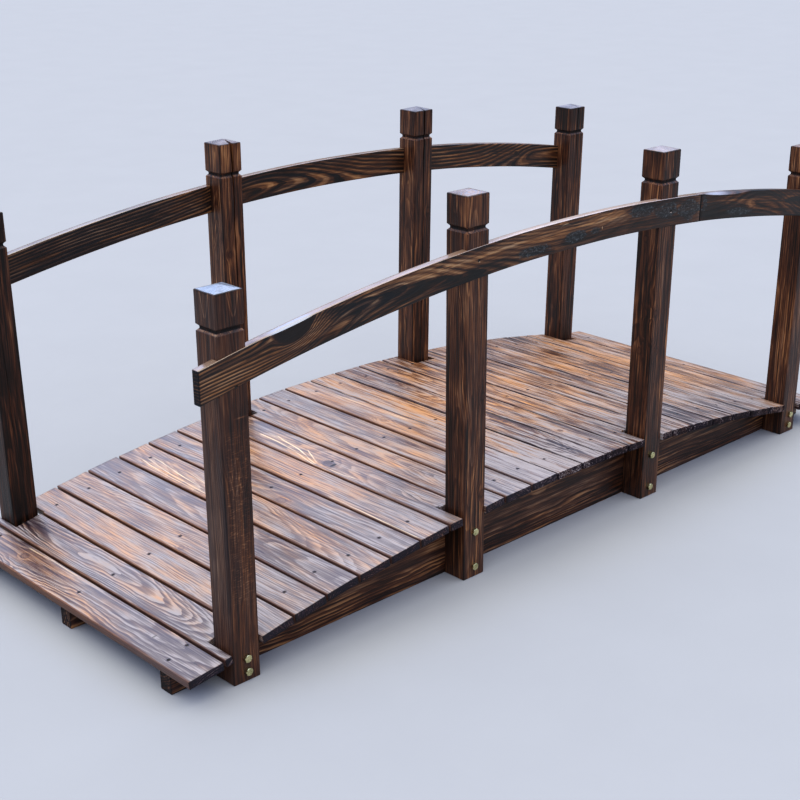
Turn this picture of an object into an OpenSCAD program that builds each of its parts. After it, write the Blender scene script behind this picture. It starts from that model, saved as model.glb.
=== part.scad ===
// Moon bridge: an arched garden bridge of timber.
// Three stringers with flat soles and arched tops carry a deck of boards laid
// across them. Eight square posts stand against the outer stringers and hold
// a curved handrail on each side.
// X runs along the bridge, Y across it, Z up. The origin is on the ground
// under the middle of the bridge. The front side is at -Y.

/* [Deck] */
// Width of one deck board
board_w = 89; // [84:1:91]
// Gap between two deck boards
board_gap = 6; // [4:1:8]
// Thickness of a deck board
board_t = 19; // [16:1:22]
// Length of a deck board, across the bridge
board_len = 946; // [930:2:980]
// Height of the walking surface in the middle
deck_crown = 185; // [178:1:230]
// Radius of the walking surface
deck_radius = 5400; // [5300:50:8000]
// Slope of the first and the last board, in degrees
end_tilt = 7; // [6:0.5:9]
// Play of a notched board beside a post
notch_side = 8; // [3:1:12]
// Play of a notched board behind a post
notch_back = 13; // [4:1:18]

/* [Stringers] */
// Thickness of a stringer
stringer_t = 38; // [30:1:50]
// How far the deck reaches past the stringers' ends
deck_overhang = 4; // [0:1:40]

/* [Posts] */
// Side of the square posts
post_w = 64; // [56:1:70]
// Distance between the outer faces of the two rows of posts
posts_out = 933; // [900:1:940]
// Spacing of the two middle posts
mid_spacing = 688; // [670:1:700]
// Spacing of an end post from the middle post next to it
end_spacing = 679; // [665:1:690]
// Height of a middle post up to the edge of its top
mid_post_h = 917; // [895:1:1000]
// Height of an end post up to the edge of its top
end_post_h = 842; // [820:1:930]
// Rise of the low pyramid on a post
cap_h = 9; // [6:1:24]
// Distance from the edge of the top down to the middle of the groove
groove_drop = 74; // [60:1:78]
// Height of the groove at the face of the post
groove_h = 14; // [8:1:18]
// Depth of the groove
groove_d = 5; // [3:0.5:8]
// Easing of the four long edges of a post
post_ease = 2; // [1:0.5:4]

/* [Handrails] */
// Thickness of a handrail
rail_t = 20; // [16:1:26]
// Depth of a handrail from top to bottom
rail_h = 70; // [56:1:80]
// Height of the top of a handrail in the middle
rail_crown = 817; // [800:1:822]
// Radius of the top of a handrail
rail_radius = 5500; // [5300:50:7000]
// How far a handrail stands proud of the posts
rail_proud = 2; // [0.5:0.5:6]
// How far a handrail runs past the end posts
rail_past = 47; // [20:1:70]
// Place of the joint between the two lengths of the front handrail
rail_joint_x = 473; // [420:1:600]

/* [Hidden] */

boards = 25;
middle_board = (boards + 1) / 2;
pitch = board_w + board_gap;
deck_zc = deck_crown - deck_radius;          // height of the deck arc's centre
rail_zc = rail_crown - rail_radius;          // height of the handrail arc's centre
post_in = posts_out / 2 - post_w;            // inner face of a post, from the middle
end_x = mid_spacing / 2 + end_spacing;
post_x = [-end_x, -mid_spacing / 2, mid_spacing / 2, end_x];
rail_end = end_x + post_w / 2 + rail_past;

// Angle of a board's middle on the arc, in degrees
function board_angle(i) = (i - middle_board) * pitch / deck_radius * 180 / PI;

// The inner top edge of an end board, on the arc
tip_a = board_angle(boards);
tip_x = deck_radius * sin(tip_a) - board_w / 2 * cos(tip_a);
tip_z = deck_zc + deck_radius * cos(tip_a) + board_w / 2 * sin(tip_a);
// The same board's lower edges
seat_x = tip_x - board_t * sin(end_tilt);
seat_z = tip_z - board_t * cos(end_tilt);
deck_end = tip_x + board_w * cos(end_tilt);
foot_x = deck_end - deck_overhang;
foot_z = seat_z - (foot_x - seat_x) * tan(end_tilt);

// An upright profile in X and Z, given a thickness in Y from y0 upwards
module upright(y0, t) {
    translate([0, y0 + t, 0]) rotate([90, 0, 0]) linear_extrude(height = t) children();
}

// Side view of a stringer: flat sole, arched top, straight seats at both ends
module stringer_profile() {
    run_x = seat_x - 70;                     // the seats' lines are drawn this far into the arch
    run_z = seat_z + 70 * tan(end_tilt);
    union() {
        polygon([[-foot_x, 0], [foot_x, 0], [foot_x, foot_z], [run_x, run_z],
                 [-run_x, run_z], [-foot_x, foot_z]]);
        intersection() {
            translate([0, deck_zc]) circle(r = deck_radius - board_t, $fn = 720);
            translate([-seat_x - 30, 10]) square([2 * seat_x + 60, deck_crown]);
        }
    }
}

module stringer(y_mid) {
    color([0.36, 0.22, 0.13])
        upright(y_mid - stringer_t / 2, stringer_t) stringer_profile();
}

// A plain board, its top face on the arc, or sloped at the ends of the deck
module plain_board(i) {
    if (i > 1 && i < boards)
        translate([0, 0, deck_zc]) rotate([0, board_angle(i), 0])
            translate([-board_w / 2, -board_len / 2, deck_radius - board_t])
                cube([board_w, board_len, board_t]);
    else if (i == boards)
        translate([tip_x, 0, tip_z]) rotate([0, end_tilt, 0])
            translate([0, -board_len / 2, -board_t]) cube([board_w, board_len, board_t]);
    else
        translate([-tip_x, 0, tip_z]) rotate([0, -end_tilt, 0])
            translate([-board_w, -board_len / 2, -board_t]) cube([board_w, board_len, board_t]);
}

// A board with its notches round the posts that it meets
module deck_board(i) {
    x_mid = deck_radius * sin(board_angle(i));
    cut_w = post_w + 2 * notch_side;
    color([0.52, 0.37, 0.28])
        difference() {
            plain_board(i);
            for (px = post_x)
                if (abs(px - x_mid) < (board_w + cut_w) / 2)
                    for (s = [-1, 1])
                        translate([px - cut_w / 2,
                                   s > 0 ? post_in - notch_back : -board_len / 2 - 10, 0])
                            cube([cut_w, board_len / 2 + 10 - post_in + notch_back, deck_crown + 20]);
        }
}

// Outline of a post with its long edges eased
module post_section() {
    h = post_w / 2;
    e = post_ease;
    polygon([[-h + e, -h], [h - e, -h], [h, -h + e], [h, h - e],
             [h - e, h], [-h + e, h], [-h, h - e], [-h, -h + e]]);
}

// What is left of a post's head under one slope of its pyramid
module slope_cut(top) {
    h = post_w / 2;
    rotate([90, 0, 0]) translate([0, 0, -h - 1]) linear_extrude(height = post_w + 2)
        polygon([[0, top + cap_h], [h + 1, top - cap_h / h], [h + 1, top + cap_h + 1], [0, top + cap_h + 1]]);
}

// The groove along one face, as the bar that is cut away
module groove_bar(z) {
    h = post_w / 2;
    rotate([90, 0, 0]) translate([0, 0, -h - 1]) linear_extrude(height = post_w + 2)
        polygon([[h + 1, z - groove_h / 2 - 1], [h + 1, z + groove_h / 2 + 1],
                 [h - groove_d, z + groove_h / 6], [h - groove_d, z - groove_h / 6]]);
}

// Side view of a handrail between two places along the bridge
module rail_profile(x0, x1) {
    difference() {
        intersection() {
            translate([0, rail_zc]) circle(r = rail_radius, $fn = 720);
            translate([x0, rail_crown - 320]) square([x1 - x0, 330]);
        }
        translate([0, rail_zc]) circle(r = rail_radius - rail_h, $fn = 720);
    }
}

// side is -1 at the front and 1 at the back
module rail_piece(side, x0, x1) {
    upright(side > 0 ? posts_out / 2 + rail_proud - rail_t : -posts_out / 2 - rail_proud, rail_t)
        rail_profile(x0, x1);
}

module post(k, side) {
    top = (k == 1 || k == 4) ? end_post_h : mid_post_h;
    color([0.29, 0.18, 0.13])
        difference() {
            translate([post_x[k - 1], side * (posts_out - post_w) / 2, 0])
                difference() {
                    linear_extrude(height = top + cap_h) post_section();
                    for (a = [0, 90, 180, 270]) rotate([0, 0, a]) slope_cut(top);
                    for (a = [0, 90, 180, 270]) rotate([0, 0, a]) groove_bar(top - groove_drop);
                }
            // housing for the handrail
            rail_piece(side, post_x[k - 1] - post_w, post_x[k - 1] + post_w);
        }
}

module handrail(side, x0, x1) {
    color([0.23, 0.14, 0.10]) rail_piece(side, x0, x1);
}

stringer(-(post_in - stringer_t / 2));  // stringer_front
stringer(0);  // stringer_middle
stringer(post_in - stringer_t / 2);  // stringer_back
deck_board(1);  // deck_board_01
deck_board(2);  // deck_board_02
deck_board(3);  // deck_board_03
deck_board(4);  // deck_board_04
deck_board(5);  // deck_board_05
deck_board(6);  // deck_board_06
deck_board(7);  // deck_board_07
deck_board(8);  // deck_board_08
deck_board(9);  // deck_board_09
deck_board(10);  // deck_board_10
deck_board(11);  // deck_board_11
deck_board(12);  // deck_board_12
deck_board(13);  // deck_board_13
deck_board(14);  // deck_board_14
deck_board(15);  // deck_board_15
deck_board(16);  // deck_board_16
deck_board(17);  // deck_board_17
deck_board(18);  // deck_board_18
deck_board(19);  // deck_board_19
deck_board(20);  // deck_board_20
deck_board(21);  // deck_board_21
deck_board(22);  // deck_board_22
deck_board(23);  // deck_board_23
deck_board(24);  // deck_board_24
deck_board(25);  // deck_board_25
post(1, -1);  // post_front_1
post(2, -1);  // post_front_2
post(3, -1);  // post_front_3
post(4, -1);  // post_front_4
post(1, 1);  // post_back_1
post(2, 1);  // post_back_2
post(3, 1);  // post_back_3
post(4, 1);  // post_back_4
handrail(-1, -rail_end, rail_joint_x);  // handrail_front_long
handrail(-1, rail_joint_x, rail_end);  // handrail_front_short
handrail(1, -rail_end, rail_end);  // handrail_back
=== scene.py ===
import math

import bmesh
import bpy
import numpy as np
from mathutils import Matrix, Vector


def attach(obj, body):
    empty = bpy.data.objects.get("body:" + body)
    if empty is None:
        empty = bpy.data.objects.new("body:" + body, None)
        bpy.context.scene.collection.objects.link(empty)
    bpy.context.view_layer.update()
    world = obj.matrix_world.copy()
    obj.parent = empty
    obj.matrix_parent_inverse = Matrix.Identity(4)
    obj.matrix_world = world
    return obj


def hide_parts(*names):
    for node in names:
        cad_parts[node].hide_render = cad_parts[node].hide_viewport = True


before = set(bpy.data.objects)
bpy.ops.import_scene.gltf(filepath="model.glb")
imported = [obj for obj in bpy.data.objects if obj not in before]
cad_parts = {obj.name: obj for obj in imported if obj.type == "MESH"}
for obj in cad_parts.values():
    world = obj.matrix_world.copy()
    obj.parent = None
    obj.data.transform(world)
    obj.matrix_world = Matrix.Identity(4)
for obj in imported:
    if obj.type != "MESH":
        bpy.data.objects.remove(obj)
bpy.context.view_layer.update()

# ---------------------------------------------------------------- dimensions, in mm
BOARD_W, BOARD_T, BOARD_LEN, PITCH = 89.0, 19.0, 946.0, 95.0
DECK_R, DECK_CROWN, END_TILT = 5400.0, 185.0, math.radians(7.0)
DECK_ZC = DECK_CROWN - DECK_R
NOTCH_SIDE, NOTCH_BACK = 8.0, 13.0
STRINGER_T, OVERHANG = 38.0, 4.0
POST_W, POSTS_OUT = 64.0, 933.0
POST_X = (-1023.0, -344.0, 344.0, 1023.0)
POST_H = (842.0, 917.0, 917.0, 842.0)
CAP_H, GROOVE_DROP, GROOVE_H, GROOVE_D = 9.0, 74.0, 14.0, 5.0
RAIL_T, RAIL_H, RAIL_R, RAIL_CROWN = 20.0, 70.0, 5500.0, 817.0
RAIL_ZC = RAIL_CROWN - RAIL_R
RAIL_OUT = POSTS_OUT / 2 + 2.0
RAIL_IN = RAIL_OUT - RAIL_T
RAIL_END, RAIL_JOINT = 1102.0, 473.0
POST_IN = POSTS_OUT / 2 - POST_W


def board_angle(i):
    return (i - 13) * PITCH / DECK_R


TIP_A = board_angle(25)
TIP_X = DECK_R * math.sin(TIP_A) - BOARD_W / 2 * math.cos(TIP_A)
TIP_Z = DECK_ZC + DECK_R * math.cos(TIP_A) + BOARD_W / 2 * math.sin(TIP_A)
SEAT_X = TIP_X - BOARD_T * math.sin(END_TILT)
SEAT_Z = TIP_Z - BOARD_T * math.cos(END_TILT)
FOOT_X = TIP_X + BOARD_W * math.cos(END_TILT) - OVERHANG
FOOT_Z = SEAT_Z - (FOOT_X - SEAT_X) * math.tan(END_TILT)


def rail_top(x, r=RAIL_R):
    return RAIL_ZC + np.sqrt(r * r - np.asarray(x, float) ** 2)


def stringer_top(x):
    x = abs(x)
    if x > SEAT_X:
        return SEAT_Z - (x - SEAT_X) * math.tan(END_TILT)
    return DECK_ZC + math.sqrt((DECK_R - BOARD_T) ** 2 - x * x)


# ---------------------------------------------------------------- node trees
class Tree:
    """Short names for the shader nodes that the materials are made of."""

    def __init__(self, nt):
        self.nt = nt

    def put(self, socket, value):
        if isinstance(value, bpy.types.NodeSocket):
            self.nt.links.new(value, socket)
        elif value is not None:
            socket.default_value = value

    def m(self, op, a, b=None, c=None, clamp=False):
        n = self.nt.nodes.new("ShaderNodeMath")
        n.operation = op
        n.use_clamp = clamp
        for s, v in zip(n.inputs, (a, b, c)):
            self.put(s, v)
        return n.outputs[0]

    def add(self, *terms):
        total = terms[0]
        for t in terms[1:]:
            total = self.m("ADD", total, t)
        return total

    def mul(self, a, b):
        return self.m("MULTIPLY", a, b)

    def sub(self, a, b):
        return self.m("SUBTRACT", a, b)

    def mad(self, a, b, c):
        return self.m("MULTIPLY_ADD", a, b, c)

    def v(self, op, a, b=None, scale=None):
        n = self.nt.nodes.new("ShaderNodeVectorMath")
        n.operation = op
        self.put(n.inputs[0], a)
        if b is not None:
            self.put(n.inputs[1], b)
        if scale is not None:
            self.put(n.inputs["Scale"], scale)
        return n.outputs["Value"] if op in ("LENGTH", "DOT_PRODUCT", "DISTANCE") else n.outputs[0]

    def sep(self, vec):
        n = self.nt.nodes.new("ShaderNodeSeparateXYZ")
        self.put(n.inputs[0], vec)
        return n.outputs[0], n.outputs[1], n.outputs[2]

    def comb(self, x, y, z):
        n = self.nt.nodes.new("ShaderNodeCombineXYZ")
        for s, v in zip(n.inputs, (x, y, z)):
            self.put(s, v)
        return n.outputs[0]

    def noise(self, vec, size, detail=2.0, rough=0.5, dist=0.0):
        """Noise about 0, of the given grain size in mm along each axis."""
        n = self.nt.nodes.new("ShaderNodeTexNoise")
        n.inputs["Scale"].default_value = 1.0
        n.inputs["Detail"].default_value = detail
        n.inputs["Roughness"].default_value = rough
        n.inputs["Distortion"].default_value = dist
        self.put(n.inputs["Vector"], self.v("MULTIPLY", vec, tuple(1.0 / s for s in size)))
        return self.m("SUBTRACT", n.outputs[0], 0.5)

    def step(self, x, lo, hi, out_lo=0.0, out_hi=1.0):
        n = self.nt.nodes.new("ShaderNodeMapRange")
        n.interpolation_type = "SMOOTHSTEP"
        for s, v in zip(n.inputs, (x, lo, hi, out_lo, out_hi)):
            self.put(s, v)
        return n.outputs[0]

    def ramp(self, x, stops, interpolation="LINEAR"):
        n = self.nt.nodes.new("ShaderNodeValToRGB")
        n.color_ramp.interpolation = interpolation
        e = n.color_ramp.elements
        while len(e) > 1:
            e.remove(e[-1])
        e[0].position, e[0].color = stops[0][0], (*stops[0][1], 1.0)
        for p, c in stops[1:]:
            x1 = e.new(p)
            x1.color = (*c, 1.0)
        self.put(n.inputs[0], x)
        return n.outputs[0]


def new_material(name):
    mat = bpy.data.materials.new(name)
    mat.use_nodes = True
    nt = mat.node_tree
    nt.nodes.clear()
    out = nt.nodes.new("ShaderNodeOutputMaterial")
    bsdf = nt.nodes.new("ShaderNodeBsdfPrincipled")
    nt.links.new(bsdf.outputs[0], out.inputs[0])
    return mat, Tree(nt), bsdf


# How each family of timber looks: the char-to-tan ramp, and how strongly rings,
# fibres, streaks, blotches and burnt edges show in it
DECK = dict(
    stops=[(0.0, (0.009, 0.004, 0.006)), (0.18, (0.035, 0.012, 0.014)), (0.34, (0.090, 0.037, 0.030)),
           (0.50, (0.168, 0.085, 0.056)), (0.66, (0.270, 0.150, 0.098)), (0.90, (0.48, 0.285, 0.19))],
    base=0.60, ring=0.22, fibre=0.66, streak=0.58, thin=0.50, hair=0.13, cut=0.0, blotch=0.70, edge=0.10, edge_w=4.0, side=-0.10, end=0.66,
    rough=0.42, rough_var=0.30, ior=1.45, coat=(1.25, -0.9), coat_rough=0.28, bump=0.16, fibre_bump=0.10, side_red=1.0, end_red=0.4,
    hue=(3.4, 5.2, 1.2), ring_hue=0.8, green=1.045, bands=0.0, char=0.0, crisp=False, groove=False, painted_lit_edge=False)
POST = dict(
    stops=[(0.0, (0.006, 0.004, 0.0035)), (0.22, (0.018, 0.0085, 0.0062)), (0.42, (0.045, 0.0175, 0.0112)),
           (0.60, (0.083, 0.0365, 0.0208)), (0.80, (0.158, 0.082, 0.048)), (1.0, (0.29, 0.18, 0.108))],
    base=0.465, ring=0.20, fibre=0.62, streak=0.72, thin=0.72, hair=0.07, cut=0.15, blotch=0.75, edge=0.16, edge_w=4.0, side=0.0, end=0.0,
    rough=0.42, rough_var=0.25, ior=1.40, coat=None, coat_rough=0.3, bump=0.20, fibre_bump=0.10, side_red=0.0, end_red=-0.8,
    hue=(1.6, 1.6, 1.6), ring_hue=1.0, green=1.0, bands=0.0, warm=0.75, char=0.10, crisp=False, groove=True, painted_lit_edge=False)
RAIL = dict(
    POST, stops=[(0.0, (0.006, 0.006, 0.007)), (0.20, (0.013, 0.009, 0.008)), (0.36, (0.035, 0.016, 0.011)), (0.50, (0.073, 0.035, 0.020)),
                 (0.66, (0.130, 0.069, 0.037)), (0.84, (0.22, 0.130, 0.073)), (1.0, (0.34, 0.23, 0.14))],
    base=0.45, ring=0.27, bands=0.12, gold=0.21, fibre=0.60, streak=0.48, thin=0.45, hair=0.0, cut=0.0, blotch=0.48, edge=0.16, edge_w=4.0, end=0.36, rough=0.40,
    warm=0.35, char=0.12, crisp=True, groove=False, top=(0.42, -0.5))
STRINGER = dict(POST, base=0.42, ring=0.38, fibre=0.6, thin=0.9, streak=1.0, hair=0.0, cut=0.06, blotch=1.0, edge=0.16, edge_w=6.0, end=0.25, char=0.05, groove=False)


def wood(name, look, seed, half, mid=(0.0, 0.0, 0.0), pith=(0.0, -60.0), lean=(0.0, 0.0), bow=(0.0, 0.0),
         ring=6.0, sign=1.0, shade=0.0, red=0.0, knots=(), spots=(), cap=None, gain=1.0, sky=1.0, streaky=1.0, figure=1.0, flames=(), couple=0.0, dots=(), seams=(), dulls=(), path=None, flakes=(), pales=(),
         scratches=None, cap_shine=1.0, cap_weather_and_sky=0.25, cap_red=-1.0, cap_weather_and_sky_colour=(0.20, 0.245, 0.32), lip_wear_and_highlight=0.12, figures=(), vees=(),
         strokes=(), pits=(), bold=0.6):
    """A timber's material, from its own coordinates in mm: u along the grain, v across, w through.
    pith and lean say where the heart of the tree lies and how it runs, bow makes closed ovals of the rings.
    knots are (u, v or w, radius, axis, lightness, length over width); spots are (u, v, half length, half width, tone,
    redness).
    path gives the heart's place and depth at points along the timber instead of pith and lean; flakes are patches of
    grey char, pales places where the upper face is worn pale brown, those tagged blue a painted blue-grey sky
    reflection on the upper face, and dulls where it is dull, dots stained points, seams thin lines (axis across, place,
    from, to, half width, tone, gaps), scratches a length with marks across the grain, vees pointed dark tongues of
    grain (tip, v, run, half width, tone, redness);
    figures says how strongly the rings show along the timber; strokes are single lines of grain on the upper face
    (points (u, v) from low u to high, half width, how pale or, below 0, how dark), pits dark holes (u, v, half length,
    half width, depth of tone)."""
    mat, t, bsdf = new_material(name)
    at = t.nt.nodes.new("ShaderNodeAttribute")
    at.attribute_type = "GEOMETRY"
    at.attribute_name = "gc"
    p = at.outputs["Vector"]
    s = t.v("ADD", p, (seed * 917.3, seed * 131.7, seed * 57.9))
    slow = t.noise(s, (430, 120, 120), 1.0, 0.4)
    mid_n = t.noise(s, (95, 26, 26), 2.0, 0.5)
    fibre = t.noise(s, (46, 1.7, 1.7), 2.0, 0.6)
    streak = t.noise(s, (260, 10.0, 10.0), 4.0, 0.62)
    thin = t.noise(t.v("ADD", s, (311.0, 77.0, 43.0)), (150, 3.6, 3.6), 1.0, 0.5)
    blotch = t.noise(s, (170, 42, 42), 3.0, 0.6)

    # knots push the grain aside
    flow, knot_d = p, []
    for ku, kv, kr, axis, light, *length in knots:
        long_ = 1.0 / length[0] if length else 0.70
        if axis == "w":
            c, flat, shift = (ku, kv, 0.0), (long_, 1.0, 0.0), (0.93 if path else 0.0, 0.93, 0.0)
        else:
            c, flat, shift = (ku, 0.0, kv), (long_, 0.0, 1.0), (0.0, 0.0, 0.93)
        d = t.v("SUBTRACT", p, c)
        wob = t.mad(mid_n, 0.22 if path else 1.6, 1.0)
        q = t.mul(t.v("LENGTH", t.v("MULTIPLY", d, flat)), t.m("DIVIDE", wob, kr))
        k = t.m("MINIMUM", t.m("DIVIDE", 1.1 if path else 3.4, t.m("MAXIMUM", t.mul(q, q), 0.5)), 1.0)
        flow = t.v("SUBTRACT", flow, t.v("SCALE", t.v("MULTIPLY", d, shift), scale=k))
        knot_d.append((q, light))

    u, v, w = t.sep(flow)
    du = t.add(u, -mid[0])
    rv = t.mad(du, -lean[0], t.add(v, -pith[0]))
    rv = t.mad(slow, 62.0, rv)
    rw = t.mad(du, -lean[1], t.add(w, -pith[1]))
    if bow[0]:
        off = t.add(u, -bow[1])
        rw = t.mad(t.mul(off, off), bow[0], rw)
    if path:
        face, pts = path
        u0, u1 = pts[0][0], pts[-1][0]
        where = t.ramp(t.mad(u, 1.0 / (u1 - u0), -u0 / (u1 - u0)),
                       [((pu - u0) / (u1 - u0), ((pv + 100.0) / 200.0, pd / 200.0, 0.0)) for pu, pv, pd in pts], "B_SPLINE")
        heart, depth, _ = t.sep(where)
        rv = t.mad(slow, 22.0, t.sub(v, t.mad(heart, 200.0, -100.0)))
        rw = t.mad(depth, 200.0, t.mul(t.add(w, -face), math.copysign(0.8, face)))
    r = t.m("SQRT", t.mad(rv, rv, t.mul(rw, rw)))
    r = t.mad(mid_n, 3.6 if path else 9.0, r)
    uneven = t.noise(t.comb(r, 0.0, 0.0), (ring * 6.0, 1.0, 1.0), 1.0, 0.5)
    phase = t.mad(uneven, 1.1 if path else 5.0, t.mul(r, 1.0 / ring))
    frac = t.m("FRACT", phase)
    dark_line = t.mul(t.step(frac, 0.60, 0.78), t.step(frac, 1.0, 0.93))
    wn = t.nt.nodes.new("ShaderNodeTexWhiteNoise")
    wn.noise_dimensions = "1D"
    t.put(wn.inputs["W"], t.m("FLOOR", phase))
    rand = wn.outputs["Value"]
    ridge = t.mul(t.step(frac, 0.12, 0.86), t.step(frac, 1.0, 0.90))

    # distance to the nearest edge of the timber, and to its long sides and ends
    ou, ov, ow = t.sep(p)
    d1 = t.sub(half[0], t.m("ABSOLUTE", t.add(ou, -mid[0])))
    d2 = t.sub(half[1], t.m("ABSOLUTE", t.add(ov, -mid[1])))
    d3 = t.sub(half[2], t.m("ABSOLUTE", t.add(ow, -mid[2])))
    near = t.m("MAXIMUM", t.m("MINIMUM", d1, d2), t.m("MINIMUM", t.m("MAXIMUM", d1, d2), d3))
    near = t.m("MAXIMUM", near, 0.0)
    ragged = t.mad(mid_n, 1.9 * look["edge_w"], t.mad(streak, 1.6 * look["edge_w"], near))
    edge = t.step(ragged, look["edge_w"], 0.0)

    fade = t.mad(blotch, 3.4, 1.0)                      # the rings show more in some places than others
    weight = t.mul(t.mad(rand, 1.1, 0.45), t.m("MAXIMUM", fade, 0.15))
    lines = t.mul(t.add(ridge, -0.38), weight)
    if figures:
        f0, f1 = figures[0][0], figures[-1][0]
        along = t.ramp(t.mad(t.mad(mid_n, 120.0, ou), 1.0 / (f1 - f0), -f0 / (f1 - f0)), [((fu - f0) / (f1 - f0), (k, k, k)) for fu, k in figures])
        fade = t.mul(fade, t.sep(along)[0])
    if look["bands"]:                                   # rings of unlike tone with a thin dark line between them
        tone = t.mad(t.mul(dark_line, t.m("MAXIMUM", fade, 0.05 if figures else 0.3)), -look["ring"] * figure, look["base"] + shade)
        tone = t.mad(t.add(rand, -0.5), look["bands"] * figure, tone)
        pale_line = t.mul(t.step(frac, 0.16, 0.30), t.step(frac, 0.56, 0.42))
        tone = t.mad(t.mul(pale_line, t.m("MAXIMUM", fade, 0.05 if figures else 0.3)), look["gold"] * figure, tone)
    else:
        tone = t.mad(lines, look["ring"] * sign * gain * figure, look["base"] + shade)
    tone = t.mad(fibre, look["fibre"] * gain, tone)
    tone = t.mad(streak, look["streak"] * gain * streaky, tone)
    tone = t.mad(thin, look["thin"] * gain, tone)
    if look["hair"]:                                    # single hard lines, pale and dark
        tone = t.mad(t.step(thin, 0.06, 0.11), look["hair"] * gain, tone)
        tone = t.mad(t.step(thin, -0.07, -0.12), -look["hair"] * gain, tone)
    if look["cut"]:                                     # bands with hard borders
        tone = t.mad(t.add(t.step(streak, -0.025, 0.02), -0.5), look["cut"] * gain * streaky, tone)
    tone = t.mad(blotch, look["blotch"] * gain * max(streaky, 0.85), tone)
    tone = t.mad(edge, -look["edge"], tone)
    if look["char"]:                                    # patches burnt black, with ragged edges along the grain
        burnt = t.noise(t.v("ADD", s, (13.0, 401.0, 88.0)), (150, 26, 26), 5.0, 0.6)
        tone = t.mad(t.step(t.mad(streak, 0.5, burnt), 0.06, 0.12), -look["char"], tone)
    h1, h2, h3 = look["hue"]
    patches = t.noise(t.v("ADD", s, (57.0, 191.0, 23.0)), (150, 24, 24), 4.0, 0.62)
    redness = t.mad(patches, h2, t.mad(mid_n, h1, t.mad(slow, 1.2, red)))
    redness = t.mad(t.noise(s, (60, 4.5, 4.5), 1.0, 0.5), h3, redness)
    redness = t.mad(t.add(rand, -0.5 + look.get("warm", 0.0) / look["ring_hue"]), look["ring_hue"], redness)
    if couple:                                          # where it is lighter it is also bluer, a painted sky sheen
        redness = t.mad(t.sub(tone, look["base"] + shade), -couple, redness)
    if look["side"]:                                    # painted shade: the long sides are painted black below their top few mm, where the gap between the boards shades them, and left lighter at the top
        side = t.step(d2, 2.2, 0.4)
        tone = t.mad(side, t.step(ow, -4.4, -2.8, -0.7, -look["side"]), tone)
        redness = t.mad(side, look["side_red"], redness)
    painted_lit_edge = 0.0
    if look["painted_lit_edge"]:                                   # painted light: a brown band without varnish along the near edge of the top stands in for the lit upper part of the side face seen in the gap
        painted_lit_edge = t.step(t.mad(mid_n, 8.0, t.mad(streak, 7.0, ov)), 5.2 - half[1], 3.0 - half[1], 0.0, look["painted_lit_edge"])
        tone = t.mad(t.sub(t.mad(fibre, 0.5, 0.40), tone), painted_lit_edge, tone)
        redness = t.mad(t.sub(0.9, redness), painted_lit_edge, redness)
    if look["end"]:
        end = t.step(d1, 2.0, 0.4)
        tone = t.mad(end, -look["end"], tone)
        redness = t.mad(end, look["end_red"], redness)

    if spots or flakes:
        bent = t.v("ADD", p, t.comb(t.mul(mid_n, 70.0), t.mul(streak, 14.0), 0.0))
        for su, sv, hu, hv, dt, dr in spots:
            d = t.v("MULTIPLY", t.v("SUBTRACT", p if hu < 3 else bent, (su, sv, 0.0)), (1.0 / hu, 1.0 / hv, 0.0))
            g = t.m("EXPONENT", t.mul(t.v("DOT_PRODUCT", d, d), -1.0))
            if look["painted_lit_edge"] and dt > 0.07 and hv < 30:
                g = t.mul(g, t.step(t.mad(fibre, 0.4, thin), -0.02, 0.06, 0.15, 1.6))
            if look["crisp"]:
                g = t.step(t.mad(streak, 1.0, t.mad(fibre, 0.5, g)), 0.36, 0.46)
            tone = t.mad(g, dt, tone)
            if dr:
                redness = t.mad(g, dr, redness)

    for tip, c, axis, run, wide, dt, line in flames:     # a pointed loop of grain, from its tip at u = tip
        across = t.add(t.mad(mid_n, 5.0, ov if axis == "v" else ow), -c)
        along = t.m("MAXIMUM", t.mul(t.add(t.mad(blotch, 14.0, ou), -tip), 1.0 / run), 0.0)
        off = t.mul(t.sub(t.m("ABSOLUTE", across), t.mul(t.m("POWER", along, 0.75), wide)), 1.0 / line)
        loop = t.mul(t.m("EXPONENT", t.mul(t.mul(off, off), -1.0)), t.step(along, 0.0, 0.12))
        if cap is not None:
            loop = t.mul(loop, t.step(t.m("ABSOLUTE", ow if axis == "v" else ov), 30.0, 31.0))
        tone = t.mad(t.mul(loop, t.step(along, 1.6, 1.0)), dt, tone)

    for tip, c, run, wide, dt, dr in vees:              # a filled tongue with a thin pale border
        across = t.m("ABSOLUTE", t.add(t.mad(mid_n, 9.0, ov), -c))
        along = t.m("MAXIMUM", t.mul(t.add(t.mad(blotch, 22.0, ou), -tip), -1.0 / run), 0.0)
        body = t.mad(streak, 12.0, t.sub(t.mul(t.m("POWER", along, 0.6), wide), across))
        tongue = t.mul(t.step(body, -0.8, 0.8), t.mul(t.step(along, 0.0, 0.05), t.step(along, 1.7, 0.7)))
        tone = t.mad(tongue, dt, tone)
        redness = t.mad(tongue, dr, redness)
        rim = t.mul(t.add(body, 3.6), 0.5)
        rim = t.mul(t.m("EXPONENT", t.mul(t.mul(rim, rim), -1.0)), t.step(along, 1.7, 0.7))
        tone = t.mad(rim, 0.45 * abs(dt), tone)

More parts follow.
